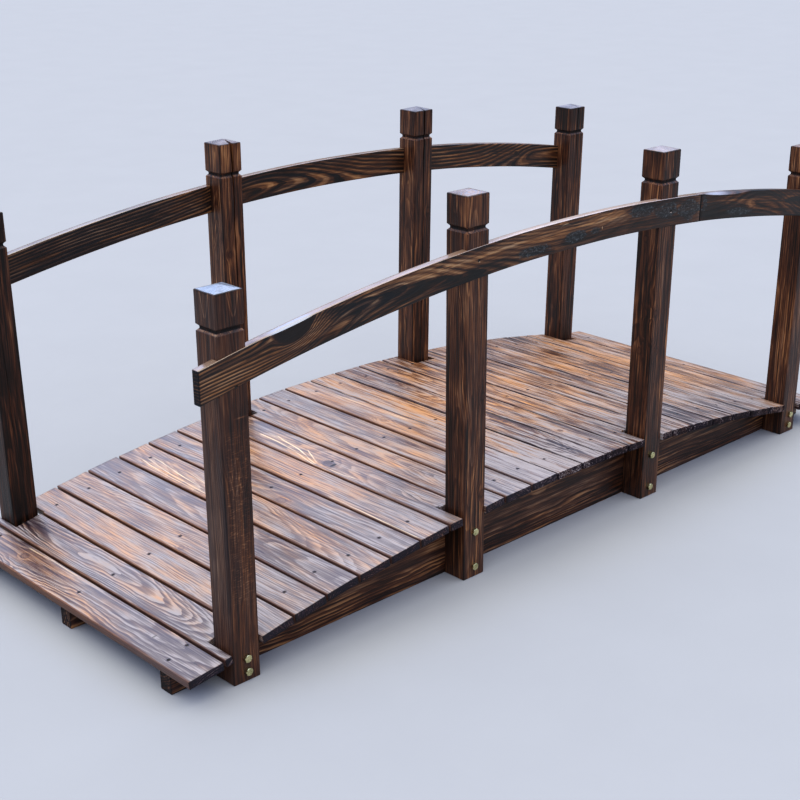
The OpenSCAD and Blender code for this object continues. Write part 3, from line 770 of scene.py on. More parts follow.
# Each board's rings, tone and the knots and burnt places that show in it
BOARDS = {
    1: dict(pith=(40, -75), lean=(0.04, 0.05), ring=6.5, shade=-0.075, red=-0.3, figure=1.5, knots=[(252, 9, 9, "w", 0.47, 1.3)], bold=0.8,
            strokes=[([(238, 0), (250, -2), (264, 2), (268, 10)], 1.2, -0.45), ([(234, 18), (248, 22), (262, 20), (270, 10)], 1.2, -0.4), ([(60, 38), (160, 40), (280, 34)], 1.6, 0.5)],
            pits=[(-279, 9, 3.0, 7, 0.5)],
            spots=[(215, 16, 130, 22, -0.10, 1.3), (60, 38, 200, 5, 0.16, 0.3), (-100, -4, 200, 20, 0.03, 0.4), (-330, 0, 120, 34, 0.0, -1.6), (-279, 9, 12, 5, 0.28, -0.3), (330, -5, 60, 20, -0.05, 0.5), (60, -30, 160, 9, -0.08, 0.6)]),
    2: dict(pith=(4, -24), bow=(0.00015, 98), ring=6.2, figure=1.9,
            strokes=[([(230, -27), (300, -30), (360, -24), (392, -4)], 1.5, -0.45), ([(250, -18), (310, -21), (352, -14), (372, 0)], 1.5, -0.45),
                     ([(210, 36), (300, 34), (366, 22), (392, 0)], 1.5, -0.45), ([(190, 28), (280, 26), (344, 16), (372, 2)], 1.5, -0.4),
                     ([(240, -10), (290, -13), (330, -8), (348, 2)], 1.3, -0.35), ([(200, 19), (270, 18), (326, 12), (348, 3)], 1.3, -0.35)],
            shade=-0.03, red=-0.5,
            spots=[(330, 4, 90, 26, -0.20, -0.2), (395, 0, 40, 20, -0.12, -0.4), (-60, 26, 160, 10, 0.06, 0.0), (-380, -14, 60, 16, 0.06, 0.2), (-130, 4, 80, 24, 0.05, 0.9), (-60, -30, 200, 12, -0.04, -1.2)]),
    3: dict(pith=(-70, -60), lean=(0.03, 0.02), ring=5.2, shade=0.07, red=0.1, spots=[(-420, 20, 60, 22, 0.04, 0.3)]),
    4: dict(pith=(60, -46), lean=(-0.05, 0.03), ring=5.0, shade=0.015, red=-0.1, knots=[(-424, -60, 9, "w", 0.5), (-44, -30, 6, "w", 0.54)],
            spots=[(290, -34, 120, 8, 0.18, 0.5), (40, -34, 70, 7, 0.15, 0.4), (150, -12, 80, 10, -0.05, 0.3)]),
    5: dict(pith=(20, -60), lean=(0.02, -0.06), ring=7.0, shade=-0.06, red=-0.5, knots=[(-150, 44, 9, "w", 0.55)],
            spots=[(-150, 34, 30, 12, 0.10, 1.0), (-320, -38, 70, 4, -0.20, 0.0), (120, -38, 160, 6, -0.10, 0.6)]),
    6: dict(pith=(-30, -70), lean=(0.03, 0.08), ring=6.4, shade=0.04, red=0.3,
            strokes=[([(123, -36), (267, -29), (348, -26), (410, -14)], 1.7, 0.55), ([(110, -29), (223, -23), (317, -17), (404, -1)], 1.6, 0.55),
                     ([(135, -17), (210, -12), (298, -1), (398, 11)], 1.6, 0.5), ([(148, 2), (210, 11), (260, 16)], 1.4, 0.4)],
            spots=[(330, -22, 150, 14, 0.12, 0.6), (200, 6, 50, 6, 0.18, 0.6), (380, 34, 110, 6, 0.14, 0.5), (-250, 10, 150, 20, 0.0, 0.5), (-60, -36, 300, 6, 0.10, 0.2)]),
    7: dict(pith=(50, -80), lean=(0.0, 0.04), ring=6.0, shade=-0.035, red=-0.3, knots=[(-66, -27, 9, "w", 0.5)],
            spots=[(-300, -30, 130, 5, 0.14, -0.3), (-70, -22, 60, 20, 0.02, 1.1), (10, 24, 100, 14, -0.05, 0.8)]),
    8: dict(pith=(-60, -60), lean=(0.02, 0.01), ring=5.2, shade=0.085, red=0.3,
           strokes=[([(-465, -41), (-308, -40), (-214, -35), (-139, -40)], 1.6, 0.5)], spots=[(-270, -34, 140, 6, 0.14, -0.2), (120, 10, 120, 26, 0.0, 0.7)]),
    9: dict(pith=(2, -58), lean=(0.0, -0.11), ring=7.4, shade=0.03, red=-0.1, knots=[(-4, -11, 14, "w", 0.36, 1.2)], bold=0.92,
            strokes=[([(17, -39), (36, -38), (73, -29), (123, -18), (204, -9), (285, -9)], 2.0, 0.75),
                     ([(11, -35), (36, -32), (73, -18), (123, -3), (198, 5), (235, 15)], 2.0, 0.75),
                     ([(18, -29), (48, -16), (85, 2), (107, 12)], 1.8, 0.65), ([(150, 18), (190, 12), (250, 2)], 1.4, 0.45),
                     ([(-127, -22), (-71, -35), (-27, -31)], 1.6, 0.55), ([(-333, -9), (-264, 5), (-190, 16)], 1.1, -0.45),
                     ([(-333, -12), (-264, -26), (-183, -29)], 1.1, -0.4), ([(-345, -2), (-290, 14), (-150, 26)], 1.1, -0.4),
                     ([(-18, -24), (-2, -26), (14, -22), (20, -10)], 1.3, -0.5), ([(-16, 2), (0, 4), (14, 0), (20, -10)], 1.3, -0.4)],
            pits=[(-21, -11, 4.5, 9, 0.85), (2, -10, 12, 9, 0.30)],
            spots=[(90, -20, 90, 16, 0.12, 0.5), (-360, 10, 40, 20, 0.06, 0.7), (390, 20, 70, 16, -0.06, 0.8), (-21, -11, 4, 9, -0.42, 0.0)]),
    10: dict(pith=(30, -64), lean=(0.04, -0.08), ring=6.0, shade=0.05, red=0.2, spots=[(-110, -2, 60, 26, 0.05, 1.3), (60, 20, 140, 14, 0.07, 0.2), (240, 8, 40, 22, 0.0, 0.9)]),
    11: dict(pith=(-50, -60), lean=(-0.03, 0.02), ring=5.0, shade=0.0, red=-0.2, spots=[(-145, -12, 80, 24, 0.04, 1.3), (-140, 26, 90, 10, 0.06, 0.9)]),
    12: dict(pith=(44, -52), lean=(0.05, 0.03), ring=5.4, shade=0.055, red=0.7, knots=[(93, -14, 8, "w", 0.66)], bold=0.85,
             strokes=[([(40, 34), (140, 30), (260, 24), (380, 26)], 2.0, 0.45), ([(70, 14), (90, 4), (104, -10), (118, -24)], 1.8, 0.45)],
             spots=[(-30, -14, 90, 14, -0.05, 1.1), (40, 30, 200, 8, 0.10, 0.3), (330, -10, 90, 24, 0.02, 0.6), (85, 24, 40, 6, 0.10, 0.0)]),
    13: dict(pith=(-40, -70), lean=(0.02, 0.05), ring=5.6, shade=0.20, red=0.7, spots=[(75, 6, 85, 24, 0.02, 1.5), (-300, -28, 60, 8, 0.06, 1.0), (-290, 26, 80, 12, 0.10, 0.3)]),
    14: dict(pith=(10, -44), lean=(0.06, 0.10), ring=5.2, shade=0.005, red=0.2, knots=[(-142, 25, 6, "w", 0.3), (-118, 27, 5, "w", 0.36)],
             spots=[(310, 6, 130, 30, -0.16, -0.6), (120, 8, 90, 26, -0.04, 1.4), (-395, 14, 40, 24, -0.14, -0.4), (-150, 10, 60, 16, 0.14, 0.8)]),
    15: dict(pith=(30, -50), lean=(-0.04, 0.06), ring=5.4, shade=-0.02, red=0.7, knots=[(-285, -7, 7, "w", 0.3), (152, -22, 8, "w", 0.5)],
             spots=[(-240, -12, 90, 8, -0.14, 0.9), (-60, 18, 120, 7, 0.10, 1.2), (-90, 14, 60, 5, -0.10, 0.8), (270, -8, 110, 14, -0.05, 1.5), (350, 12, 60, 14, -0.14, 1.1)]),
    16: dict(pith=(-30, -60), lean=(0.05, 0.04), ring=5.2, shade=0.02, red=0.8,
             spots=[(-410, -16, 70, 14, -0.16, 0.6), (-300, -6, 120, 6, -0.12, 0.4), (355, 12, 90, 14, -0.06, 1.7), (-60, 0, 100, 24, 0.03, 0.8), (320, -24, 110, 8, -0.10, 1.0)]),
    17: dict(pith=(50, -70), lean=(0.03, 0.02), ring=5.4, shade=0.0, red=0.6, spots=[(-160, 8, 90, 14, 0.02, 1.0), (120, 18, 70, 14, 0.08, 1.0), (-60, -28, 200, 7, -0.12, 0.0)]),
    18: dict(pith=(-60, -50), lean=(-0.02, 0.02), ring=4.8, shade=0.03, red=0.8,
             spots=[(-20, 5, 90, 4.5, -0.34, 0.6), (240, 16, 40, 5, -0.32, 0.9), (-410, 18, 60, 12, 0.04, 1.0), (-210, 3, 90, 4, -0.12, 0.6)]),
    19: dict(pith=(20, -60), lean=(0.02, -0.03), ring=5.0, shade=-0.12, red=0.3,
             spots=[(220, -30, 110, 5, -0.26, -0.4), (60, 0, 150, 18, -0.02, 1.1), (140, 12, 120, 9, 0.08, 1.5), (-400, -10, 90, 30, -0.06, -0.6)]),
    20: dict(pith=(-40, -60), lean=(0.04, 0.04), ring=5.4, shade=0.0, red=0.7, spots=[(140, 4, 110, 20, 0.0, 1.6), (-430, -8, 50, 6, -0.22, 0.0), (-440, 26, 40, 8, -0.2, 0.0), (170, 2, 30, 4, -0.3, 0.8), (-340, 24, 90, 8, 0.03, 1.4)]),
    21: dict(pith=(36, -56), lean=(-0.06, 0.03), ring=5.2, shade=-0.115, red=0.6,
             spots=[(150, -14, 80, 5, -0.20, 0.7), (290, -2, 90, 6, -0.22, 0.5), (-330, -20, 120, 14, -0.08, -0.6), (330, 28, 110, 12, -0.04, 1.2)]),
    22: dict(pith=(-30, -64), lean=(0.03, 0.02), ring=5.2, shade=-0.075, red=0.7, spots=[(340, 24, 90, 12, -0.06, 1.6), (60, -24, 120, 6, -0.14, -0.3), (150, 20, 120, 14, 0.02, 1.3), (-170, 30, 70, 8, 0.12, 0.6)]),
    23: dict(pith=(46, -60), lean=(0.02, 0.05), ring=5.8, shade=0.095, red=0.8, spots=[(-440, 20, 50, 22, -0.12, 1.8), (160, -14, 150, 18, 0.06, 0.9), (330, 6, 70, 16, 0.0, 1.6), (-130, 20, 100, 14, 0.02, 1.0)]),
    24: dict(pith=(-20, -66), lean=(0.04, 0.02), ring=5.4, shade=0.03, red=0.3, spots=[(330, 10, 90, 26, -0.12, 1.2), (200, -26, 60, 10, 0.12, 0.2), (-100, 6, 160, 10, 0.0, 1.0)]),
    25: dict(pith=(30, -70), lean=(0.03, 0.04), ring=5.6, shade=-0.055, red=0.5, spots=[(-180, 6, 130, 8, -0.08, 1.2), (260, -14, 110, 12, 0.06, 0.9), (-330, 20, 80, 12, -0.08, -0.5)]),
}

nail_parts = []
for i in range(1, 26):
    facts = BOARDS[i]
    facts = dict(facts)
    facts["sky"] = 1.0 if i < 10 else 0.8 if i < 13 else 0.5
    facts["streaky"] = 0.45 if i < 8 else 0.6 if i < 10 else 1.25 if i < 14 else 2.1
    # the near and middle boards are painted bluer than the far ones, a painted sky sheen that the nearer boards catch
    # more
    facts["red"] += -0.8 if i < 10 else -1.0 if i < 14 else -0.6 if i < 17 else -0.35 if i < 20 else -0.1
    facts["shade"] += 0.02 if i < 10 else 0.05 if i < 19 else 0.03
    facts["couple"] = 0.6 if i < 10 else 1.0 if i < 12 else 3.0
    facts["dots"] = nail_spots(i)
    # each board is painted bluer and a little lighter at its front end, a painted sky sheen, and a little lighter and
    # warmer in its middle
    facts["spots"] = facts["spots"] + [(-395, 0, 140, 300, 0.02 if i < 12 else 0.07, -0.9 if i < 12 else -2.0), (90, 0, 210, 300, 0.035, 0.4)]
    if i >= 15:
        facts["spots"] = facts["spots"] + [(440, 0, 90, 300, -0.12, 0.0)]
    # side paints shade on the long sides of the boards, darkest low down in the gaps
    look = dict(DECK, blotch=0.8, side=0.20 if i < 12 else 0.16, side_red=0.7 if i < 12 else -0.8, painted_lit_edge=0.9 if i < 13 else 0.0)
    if i < 8:
        look["hair"], look["fibre"] = 0.09, 0.56
    else:
        look["hair"], look["fibre"], look["thin"] = (0.17, 0.8, 0.6) if i < 13 else (0.23, 1.15, 1.1)
    mat = wood(f"deck_wood_{i:02d}", look, i * 1.37, (BOARD_LEN / 2, BOARD_W / 2, BOARD_T / 2), (0.0, 0.0, -BOARD_T / 2), **facts)
    place, bend = board_place(i), board_bend(i)
    finish_piece(f"board_{i:02d}", board_mesh(i), place, mat, f"deck_board_{i:02d}", bend)
    for nu, nv in nail_spots(i):
        rings = [disc(nu, nv, -4.0, -1.4, 1.3, 12)[k] for k in (0, 1)] + [disc(nu, nv, -1.4, -1.0, 3.2, 12)[k] for k in (0, 1)]
        rings += [disc(nu, nv, -0.8, -0.7, 2.7, 12)[0], disc(nu, nv, -0.65, 0, 1.6, 12)[0]]
        v, f = loft(rings)
        nail_parts.append((place(bend(v)), f))

# ---------------------------------------------------------------- posts
SECTION_SIDES = 7


def post_ring(half, radius, z, lift=None):
    o = round_rect(half, half, [min(radius, half * 0.45)] * 4, (SECTION_SIDES, SECTION_SIDES), 3)
    zz = np.full(len(o), z, float)
    if lift:
        zz = lift(np.maximum(np.abs(o[:, 0]), np.abs(o[:, 1])))
    return np.column_stack([zz, o[:, 0], o[:, 1]])     # own coordinates: u up, v, w


def post_mesh(height):
    g = height - GROOVE_DROP
    h, e = POST_W / 2, 1.7
    levels = [(0.0, h - 1.4), (0.5, h - 0.6), (1.6, h)]
    levels += [(z, h) for z in np.arange(20.0, g - 16, 19.0)]
    levels += [(g - GROOVE_H / 2 - 0.8, h), (g - GROOVE_H / 2 - 0.1, h - 0.2), (g - GROOVE_H / 2 + 0.5, h - 0.8),
               (g - GROOVE_H / 6 - 0.3, h - GROOVE_D + 0.4), (g - GROOVE_H / 6 + 0.5, h - GROOVE_D),
               (g + GROOVE_H / 6 - 0.5, h - GROOVE_D), (g + GROOVE_H / 6 + 0.3, h - GROOVE_D + 0.4),
               (g + GROOVE_H / 2 - 0.5, h - 0.8), (g + GROOVE_H / 2 + 0.1, h - 0.2), (g + GROOVE_H / 2 + 0.8, h)]
    levels += [(z, h) for z in np.linspace(g + GROOVE_H / 2 + 8, height - 8, 5)]
    levels += [(height - 1.4, h), (height - 0.5, h - 0.25)]
    rings = [post_ring(r, e, z) for z, r in levels]

    def slope(m):
        return height + CAP_H * (1 - m / h)

    for half in (h - 1.1, h - 5, h - 12, h - 19, h - 25, h - 29, 1.2):
        rings.append(post_ring(half, e, 0, lambda m: np.minimum(slope(m), height + CAP_H - 0.35)))
    return loft(rings)


def split_cutter(way, face=-1.0):
    """A drying split as a wedge: way lists (height, offset across, width, depth), face is the side it opens on."""
    rings = []
    h = POST_W / 2
    for z, x, wide, deep in way:
        y0, y1 = face * (h + 3), face * (h - deep)
        rings.append(np.array([(z, x - wide / 2 * (1 + 3 / max(deep, 1)), y0), (z, x + wide / 2 * (1 + 3 / max(deep, 1)), y0),
                               (z, x + 0.12 * wide, y1), (z, x - 0.12 * wide, y1)]))
    v, f = loft(rings)
    return raw_mesh("cut", v, f)


def housing_cutter(px, side):
    """What a handrail takes out of a post, in the post's own coordinates."""
    rings = []
    for x in np.linspace(px - 60, px + 60, 9):
        hi, lo = float(rail_top(x)) + 0.3, float(rail_top(x, RAIL_R - RAIL_H)) - 0.3
        deep = POST_W / 2 - 18.0 - 0.2
        out = POST_W / 2 + 6
        rings.append(np.array([(lo, x - px, side * deep), (lo, x - px, side * out), (hi, x - px, side * out), (hi, x - px, side * deep)]))
    v, f = loft(rings)
    return raw_mesh("cut", v, f)


def wander(seed, z, amount):
    rng = np.random.default_rng(seed)
    return amount * (math.sin(z / 47.0 + rng.uniform(0, 6)) * 0.6 + math.sin(z / 19.0 + rng.uniform(0, 6)) * 0.3)


SPLITS = {
    ("back", 2): [[(z, 5.5 + wander(1, z, 1.6) + (z - 600) * -0.004, 1.6 + 8.0 * max(0.0, (z - 790) / 130.0) ** 1.3 + 1.2 * (z > 400), 24 if z > 500 else 14) for z in range(150, 941, 10)]],
    ("back", 3): [[(z, 1.0 + wander(2, z, 1.8), 1.8 + 3.0 * max(0.0, (z - 700) / 240.0), 20) for z in range(240, 941, 10)]],
    ("back", 4): [[(z, 3.0 + wander(3, z, 1.5) + (842 - z) * -0.006, 1.1 + 2.0 * max(0.0, (z - 640) / 220.0), 18) for z in range(90, 866, 10)],
                  [(z, -14.0 + wander(5, z, 1.4), 0.8, 8) for z in range(120, 520, 10)]],
    ("back", 1): [[(z, -6.0 + wander(4, z, 1.5), 0.9 + 1.2 * max(0.0, (z - 600) / 260.0), 14) for z in range(300, 866, 10)]],
    ("front", 4): [[(z, -8.0 + wander(7, z, 1.5), 0.7, 8) for z in range(420, 700, 10)]],
}

POSTS = {
    ("front", 1): dict(pith=(-10, -38), lean=(0.0, 0.02), ring=5.2, shade=-0.005, cap_red=-1.7, lip_wear_and_highlight=0.42, red=0.1, gain=0.62, cap_weather_and_sky=0.9, scratches=(190, 530, 1.7),
                       flames=[(790, 8, "v", 48, 12, 0.34, 1.5), (790, 0, "w", 48, 12, 0.32, 1.6), (804, 8, "v", 40, 7, 0.16, 1.2),
                               (424, -6, "v", 40, 9, 0.24, 1.6), (508, -1, "v", -46, 12, 0.15, 1.5), (472, -1, "v", -40, 9, 0.15, 1.5)],
                       seams=[("v", -6, 195, 424, 1.1, 0.22, 0.0), ("v", -20, 100, 330, 0.9, 0.12, 0.06), ("v", 8, 120, 380, 0.9, 0.12, 0.06),
                              ("v", 18, 60, 400, 0.9, 0.10, 0.06), ("w", -26, 170, 560, 1.4, -0.26, 0.0), ("v", -1, 90, 190, 0.9, 0.14, 0.0)],
                       spots=[(588, 14, 1.6, 11, 0.55, -0.4), (806, 10, 40, 34, -0.09, -0.3), (806, -36, 46, 12, 0.06, -1.2), (500, -34, 300, 10, 0.06, -0.3), (500, 4, 30, 20, -0.06, 0.0), (300, -34, 300, 8, 0.03, -1.2), (760, 8, 30, 14, -0.08, -0.3)]),
    ("front", 2): dict(pith=(-14, -40), lean=(0.012, 0.05), ring=6.2, shade=0.055, red=0.35, cap_shine=0.86, cap_weather_and_sky=0.6, cap_weather_and_sky_colour=(0.20, 0.128, 0.095), knots=[(455, 22, 6, "w", 0.42), (212, 22, 7, "w", 0.34)],
                       flames=[(872, 6, "w", 40, 10, 0.20, 2.2), (700, -26, "v", 60, 9, 0.22, 2.0), (640, 12, "v", 90, 10, 0.18, 2.4),
                               (440, -8, "w", -50, 9, -0.30, 3.0), (262, -4, "w", -50, 9, -0.20, 3.0), (560, -20, "v", 120, 12, 0.14, 2.0)],
                       seams=[("v", -24, 90, 560, 2.2, 0.14, 0.06), ("v", 12, 300, 700, 1.8, 0.16, 0.06), ("v", 28, 400, 760, 2.0, -0.22, 0.0),
                              ("w", -22, 300, 700, 1.8, 0.14, 0.06), ("w", 10, 180, 500, 2.6, -0.20, 0.04), ("v", -26, 850, 915, 2.0, 0.16, 0.0),
                              ("w", 14, 850, 915, 1.6, -0.2, 0.0), ("w", -8, 480, 760, 1.6, -0.14, 0.06)],
                       spots=[(890, 0, 40, 60, 0.05, 0.2), (560, -34, 90, 12, -0.14, 0.6), (300, -34, 130, 10, -0.12, 0.3), (150, -30, 60, 10, -0.14, 0.2), (600, 0, 120, 16, 0.0, 0.3)]),
    ("front", 3): dict(pith=(40, 30), lean=(0.01, -0.03), ring=6.0, shade=-0.02, red=0.6, cap_shine=0.98, cap_weather_and_sky=0.6, cap_weather_and_sky_colour=(0.25, 0.17, 0.12), knots=[(412, -8, 6, "w", 0.42), (410, 4, 6.5, "v", 0.46), (516, -22, 7, "w", 0.52), (704, 8, 5, "v", 0.5)],
                       flames=[(868, -22, "v", 46, 6, 0.26, 2.4)],
                       seams=[("v", -24, 120, 640, 2.4, 0.12, 0.05), ("v", 22, 100, 740, 2.0, -0.24, 0.0), ("v", 4, 200, 700, 1.6, -0.14, 0.05),
                              ("w", 4, 140, 720, 1.8, 0.12, 0.06), ("w", -14, 100, 700, 2.0, -0.16, 0.05), ("w", 20, 300, 900, 1.6, 0.14, 0.05)],
                       spots=[(890, 14, 44, 26, -0.28, 1.6), (880, -34, 60, 9, 0.07, 0.2), (858, 8, 9, 7, -0.3, 0.0), (450, -34, 400, 9, -0.06, 1.0), (180, 6, 90, 26, -0.02, -1.0), (640, 0, 120, 30, 0.0, -0.2)]),
    ("front", 4): dict(pith=(-30, 26), lean=(0.02, 0.03), ring=6.4, shade=0.03, red=0.2, cap_shine=-0.40, cap_red=0.5,
                       spots=[(450, -34, 400, 9, 0.02, 1.4), (560, -30, 60, 14, -0.16, 0.0), (300, 0, 200, 26, 0.04, -0.9)]),
    ("back", 1): dict(pith=(-20, 22), lean=(0.01, 0.04), ring=7.0, shade=-0.22, red=0.2, gain=0.9,
                      seams=[("v", -10, 120, 700, 1.6, 0.12, 0.04), ("v", 6, 200, 800, 2.0, -0.16, 0.0)], spots=[(300, 14, 260, 4, 0.16, 0.8), (500, -34, 300, 8, 0.0, -0.9)]),
    ("back", 2): dict(pith=(6, -6), lean=(0.008, 0.01), ring=5.0, shade=0.02, red=0.5, cap_shine=0.47, cap_red=-0.2, knots=[(628, -14, 5.5, "w", 0.34)],
                      seams=[("v", -18, 560, 912, 1.8, 0.14, 0.05), ("v", 20, 120, 800, 1.6, -0.20, 0.0), ("v", 5, 100, 760, 2.2, -0.35, 0.0),
                             ("w", -10, 300, 760, 1.8, -0.14, 0.05), ("w", 12, 500, 912, 2.0, -0.20, 0.0), ("w", -24, 400, 912, 1.8, 0.12, 0.05)],
                      spots=[(900, 0, 40, 60, 0.12, 0.5), (880, 20, 34, 9, 0.26, 0.6), (880, -4, 34, 16, 0.10, 1.0), (650, -34, 150, 9, 0.04, -0.7), (500, 0, 200, 10, -0.02, 0.4)]),
    ("back", 3): dict(pith=(2, -4), lean=(-0.01, 0.01), ring=5.4, shade=0.02, red=0.5, cap_shine=0.52, cap_red=-1.0, knots=[(628, 20, 6, "w", 0.56)],
                      seams=[("v", 1, 90, 912, 3.2, -0.38, 0.0), ("w", -27, 140, 620, 2.0, -0.32, 0.02), ("v", 22, 200, 900, 2.0, 0.10, 0.04),
                             ("v", -22, 200, 800, 2.0, 0.10, 0.05), ("w", 8, 200, 900, 1.8, -0.14, 0.05), ("w", 22, 300, 912, 2.2, -0.16, 0.0)],
                      spots=[(500, 18, 300, 14, -0.10, -0.2), (560, -34, 300, 9, 0.05, 0.2), (880, 18, 34, 8, 0.12, 1.4), (880, -18, 34, 10, 0.04, 0.8), (400, -10, 200, 14, 0.0, 0.3)]),
    ("back", 4): dict(pith=(4, -2), lean=(0.006, 0.0), ring=5.8, shade=-0.05, red=0.5, cap_shine=0.70, cap_red=-0.4,
                      seams=[("v", 10, 90, 840, 2.6, -0.34, 0.02), ("w", -30, 100, 400, 2.6, -0.34, 0.0), ("w", 6, 200, 838, 2.0, -0.18, 0.04),
                             ("v", -16, 200, 838, 2.0, 0.10, 0.05), ("w", -18, 300, 700, 2.0, 0.10, 0.05)],
                      spots=[(810, 0, 40, 60, -0.17, 1.2), (500, 16, 220, 4, 0.12, 1.2), (640, -12, 120, 6, -0.14, 0.0), (240, -6, 90, 5, 0.12, 0.5)]),
}


# How far each post stands off its place along the bridge, low down and at its head, and how much wider it is, in mm
LEANS = {("front", 1): (0.4, 2.4, 5.0), ("front", 2): (4.6, -0.5, 4.2), ("front", 3): (0.2, -2.8, 4.8), ("front", 4): (-8.0, -13.0, 4.5),
         ("back", 1): (-5.5, -5.5, 3.0), ("back", 2): (-5.5, -1.0, 4.5), ("back", 3): (-7.5, 1.5, 4.5), ("back", 4): (-3.2, 4.5, 3.8)}


# How much higher the groove and the top of a post are than on its fellows, in mm
HEADS = {("front", 2): (3.5, 3.0), ("front", 3): (5.3, 4.5), ("back", 2): (-9.0, -6.0), ("back", 3): (-1.0, -2.0), ("back", 4): (4.0, 4.5)}


def leaning(row, k, z):
    low, high, _ = LEANS[(row, k)]
    return low + (high - low) * (z - 300.0) / 580.0


def raised(row, k, z):
    groove, top = HEADS.get((row, k), (0.0, 0.0))
    g = POST_H[k - 1] - GROOVE_DROP
    rail = float(rail_top(POST_X[k - 1])) + 6.0
    return z + np.interp(z, [rail, g - 9.0, g + 9.0, POST_H[k - 1]], [0.0, groove, groove, top])


def post_place(row, k):
    side = -1.0 if row == "front" else 1.0
    cy = side * (POSTS_OUT - POST_W) / 2
    wider = 1.0 + LEANS[(row, k)][2] / POST_W

    def place(p):
        return np.stack([POST_X[k - 1] + leaning(row, k, p[:, 0]) + p[:, 1] * wider, cy + p[:, 2], raised(row, k, p[:, 0])], 1)

    return place


for row, side in (("front", -1.0), ("back", 1.0)):
    for k in range(4):
        height = POST_H[k]
        v, f = post_mesh(height)
        me = raw_mesh("post", v, f)
        me = carve(me, housing_cutter(POST_X[k] + leaning(row, k + 1, height - 130.0), side))
        for way in SPLITS.get((row, k + 1), []):
            me = carve(me, split_cutter(way))
        seed = 31.0 + k * 3.3 + (17.0 if side > 0 else 0.0)
        mat = wood(f"post_wood_{row}_{k + 1}", POST, seed, (height / 2 + 8, POST_W / 2, POST_W / 2), (height / 2 - 8, 0.0, 0.0),
                   cap=height, **POSTS[(row, k + 1)])
        finish_piece(f"post_{row}_{k + 1}_timber", me, post_place(row, k + 1), mat, f"post_{row}_{k + 1}",
                     smooth_deg=28.0)

# ---------------------------------------------------------------- handrails
def rail_own(x, z, y_out):
    """Own coordinates of a rail: u along the arc, v up from its middle, w towards its outer face."""
    return RAIL_R * math.asin(x / RAIL_R), z, y_out


def rail_mesh(x0, x1, wane=None, seed=0):
    xs = [x0, x0 + 0.5, x0 + 1.6] + list(np.arange(x0 + 12, x1 - 8, 12.0)) + [x1 - 1.6, x1 - 0.5, x1]
    rings = []
    for k, x in enumerate(xs):
        inset = {0: 1.3, 1: 0.5, 2: 0.0}.get(min(k, len(xs) - 1 - k), 0.0)
        z1, z0 = float(rail_top(x)), float(rail_top(x, RAIL_R - RAIL_H))
        hv, hw = (z1 - z0) / 2 - inset, RAIL_T / 2 - inset
        r = wane(x) if wane else 2.2
        o = round_rect(hv, hw, [2.2, min(2.2, hv), r, 2.2], (9, 4), 3)      # v, w; the corner (+,+) is the outer top edge
        u = RAIL_R * math.asin(x / RAIL_R)
        rings.append(np.column_stack([np.full(len(o), u), o[:, 0], o[:, 1]]))
    return loft(rings)


def rail_place(side, seed):
    def place(p):
        q = p.copy()
        q[:, 1] += waves(p, seed, (190, 500, 90), 0.5)
        x = RAIL_R * np.sin(p[:, 0] / RAIL_R)
        mid = (rail_top(x) + rail_top(x, RAIL_R - RAIL_H)) / 2
        y = (RAIL_OUT + RAIL_IN) / 2 + q[:, 2]
        return np.stack([x, side * y, mid + q[:, 1]], 1)

    return place


def screw_hole(u, v, r=4.2, deep=1.8):
    rings = []
    for w, rr in ((RAIL_T / 2 - deep, r - 0.4), (RAIL_T / 2 - 0.6, r), (RAIL_T / 2 + 0.5, r + 0.9), (RAIL_T / 2 + 2, r + 0.9)):
        rings.append(np.array([(u + rr * math.cos(a), v + rr * math.sin(a), w) for a in np.arange(12) * math.pi / 6]))
    return loft(rings)


RAIL_SCREWS = {"front": [(-1015.0, 653.0), (-342.0, 776.0), (348.0, 774.0), (1020.0, 668.0)],
               "back": [(-1020.0, 668.0), (-346.0, 774.0), (341.0, 776.0), (1026.0, 666.0)]}


def screw_uv(x, z):
    mid = (float(rail_top(x)) + float(rail_top(x, RAIL_R - RAIL_H))) / 2
    return RAIL_R * math.asin(x / RAIL_R), z - mid


def front_wane(x):
    """The outer top edge is worn round just past the joint, and has a flat where the bark was near the left end."""
    if x < RAIL_JOINT:
        return 2.2 + 6.0 * max(0.0, 1 - abs((x + 876.0) / 62.0) ** 2.5)
    return 2.2 + 14.5 * max(0.0, 1 - abs((x - 590.0) / 105.0) ** 2.2)


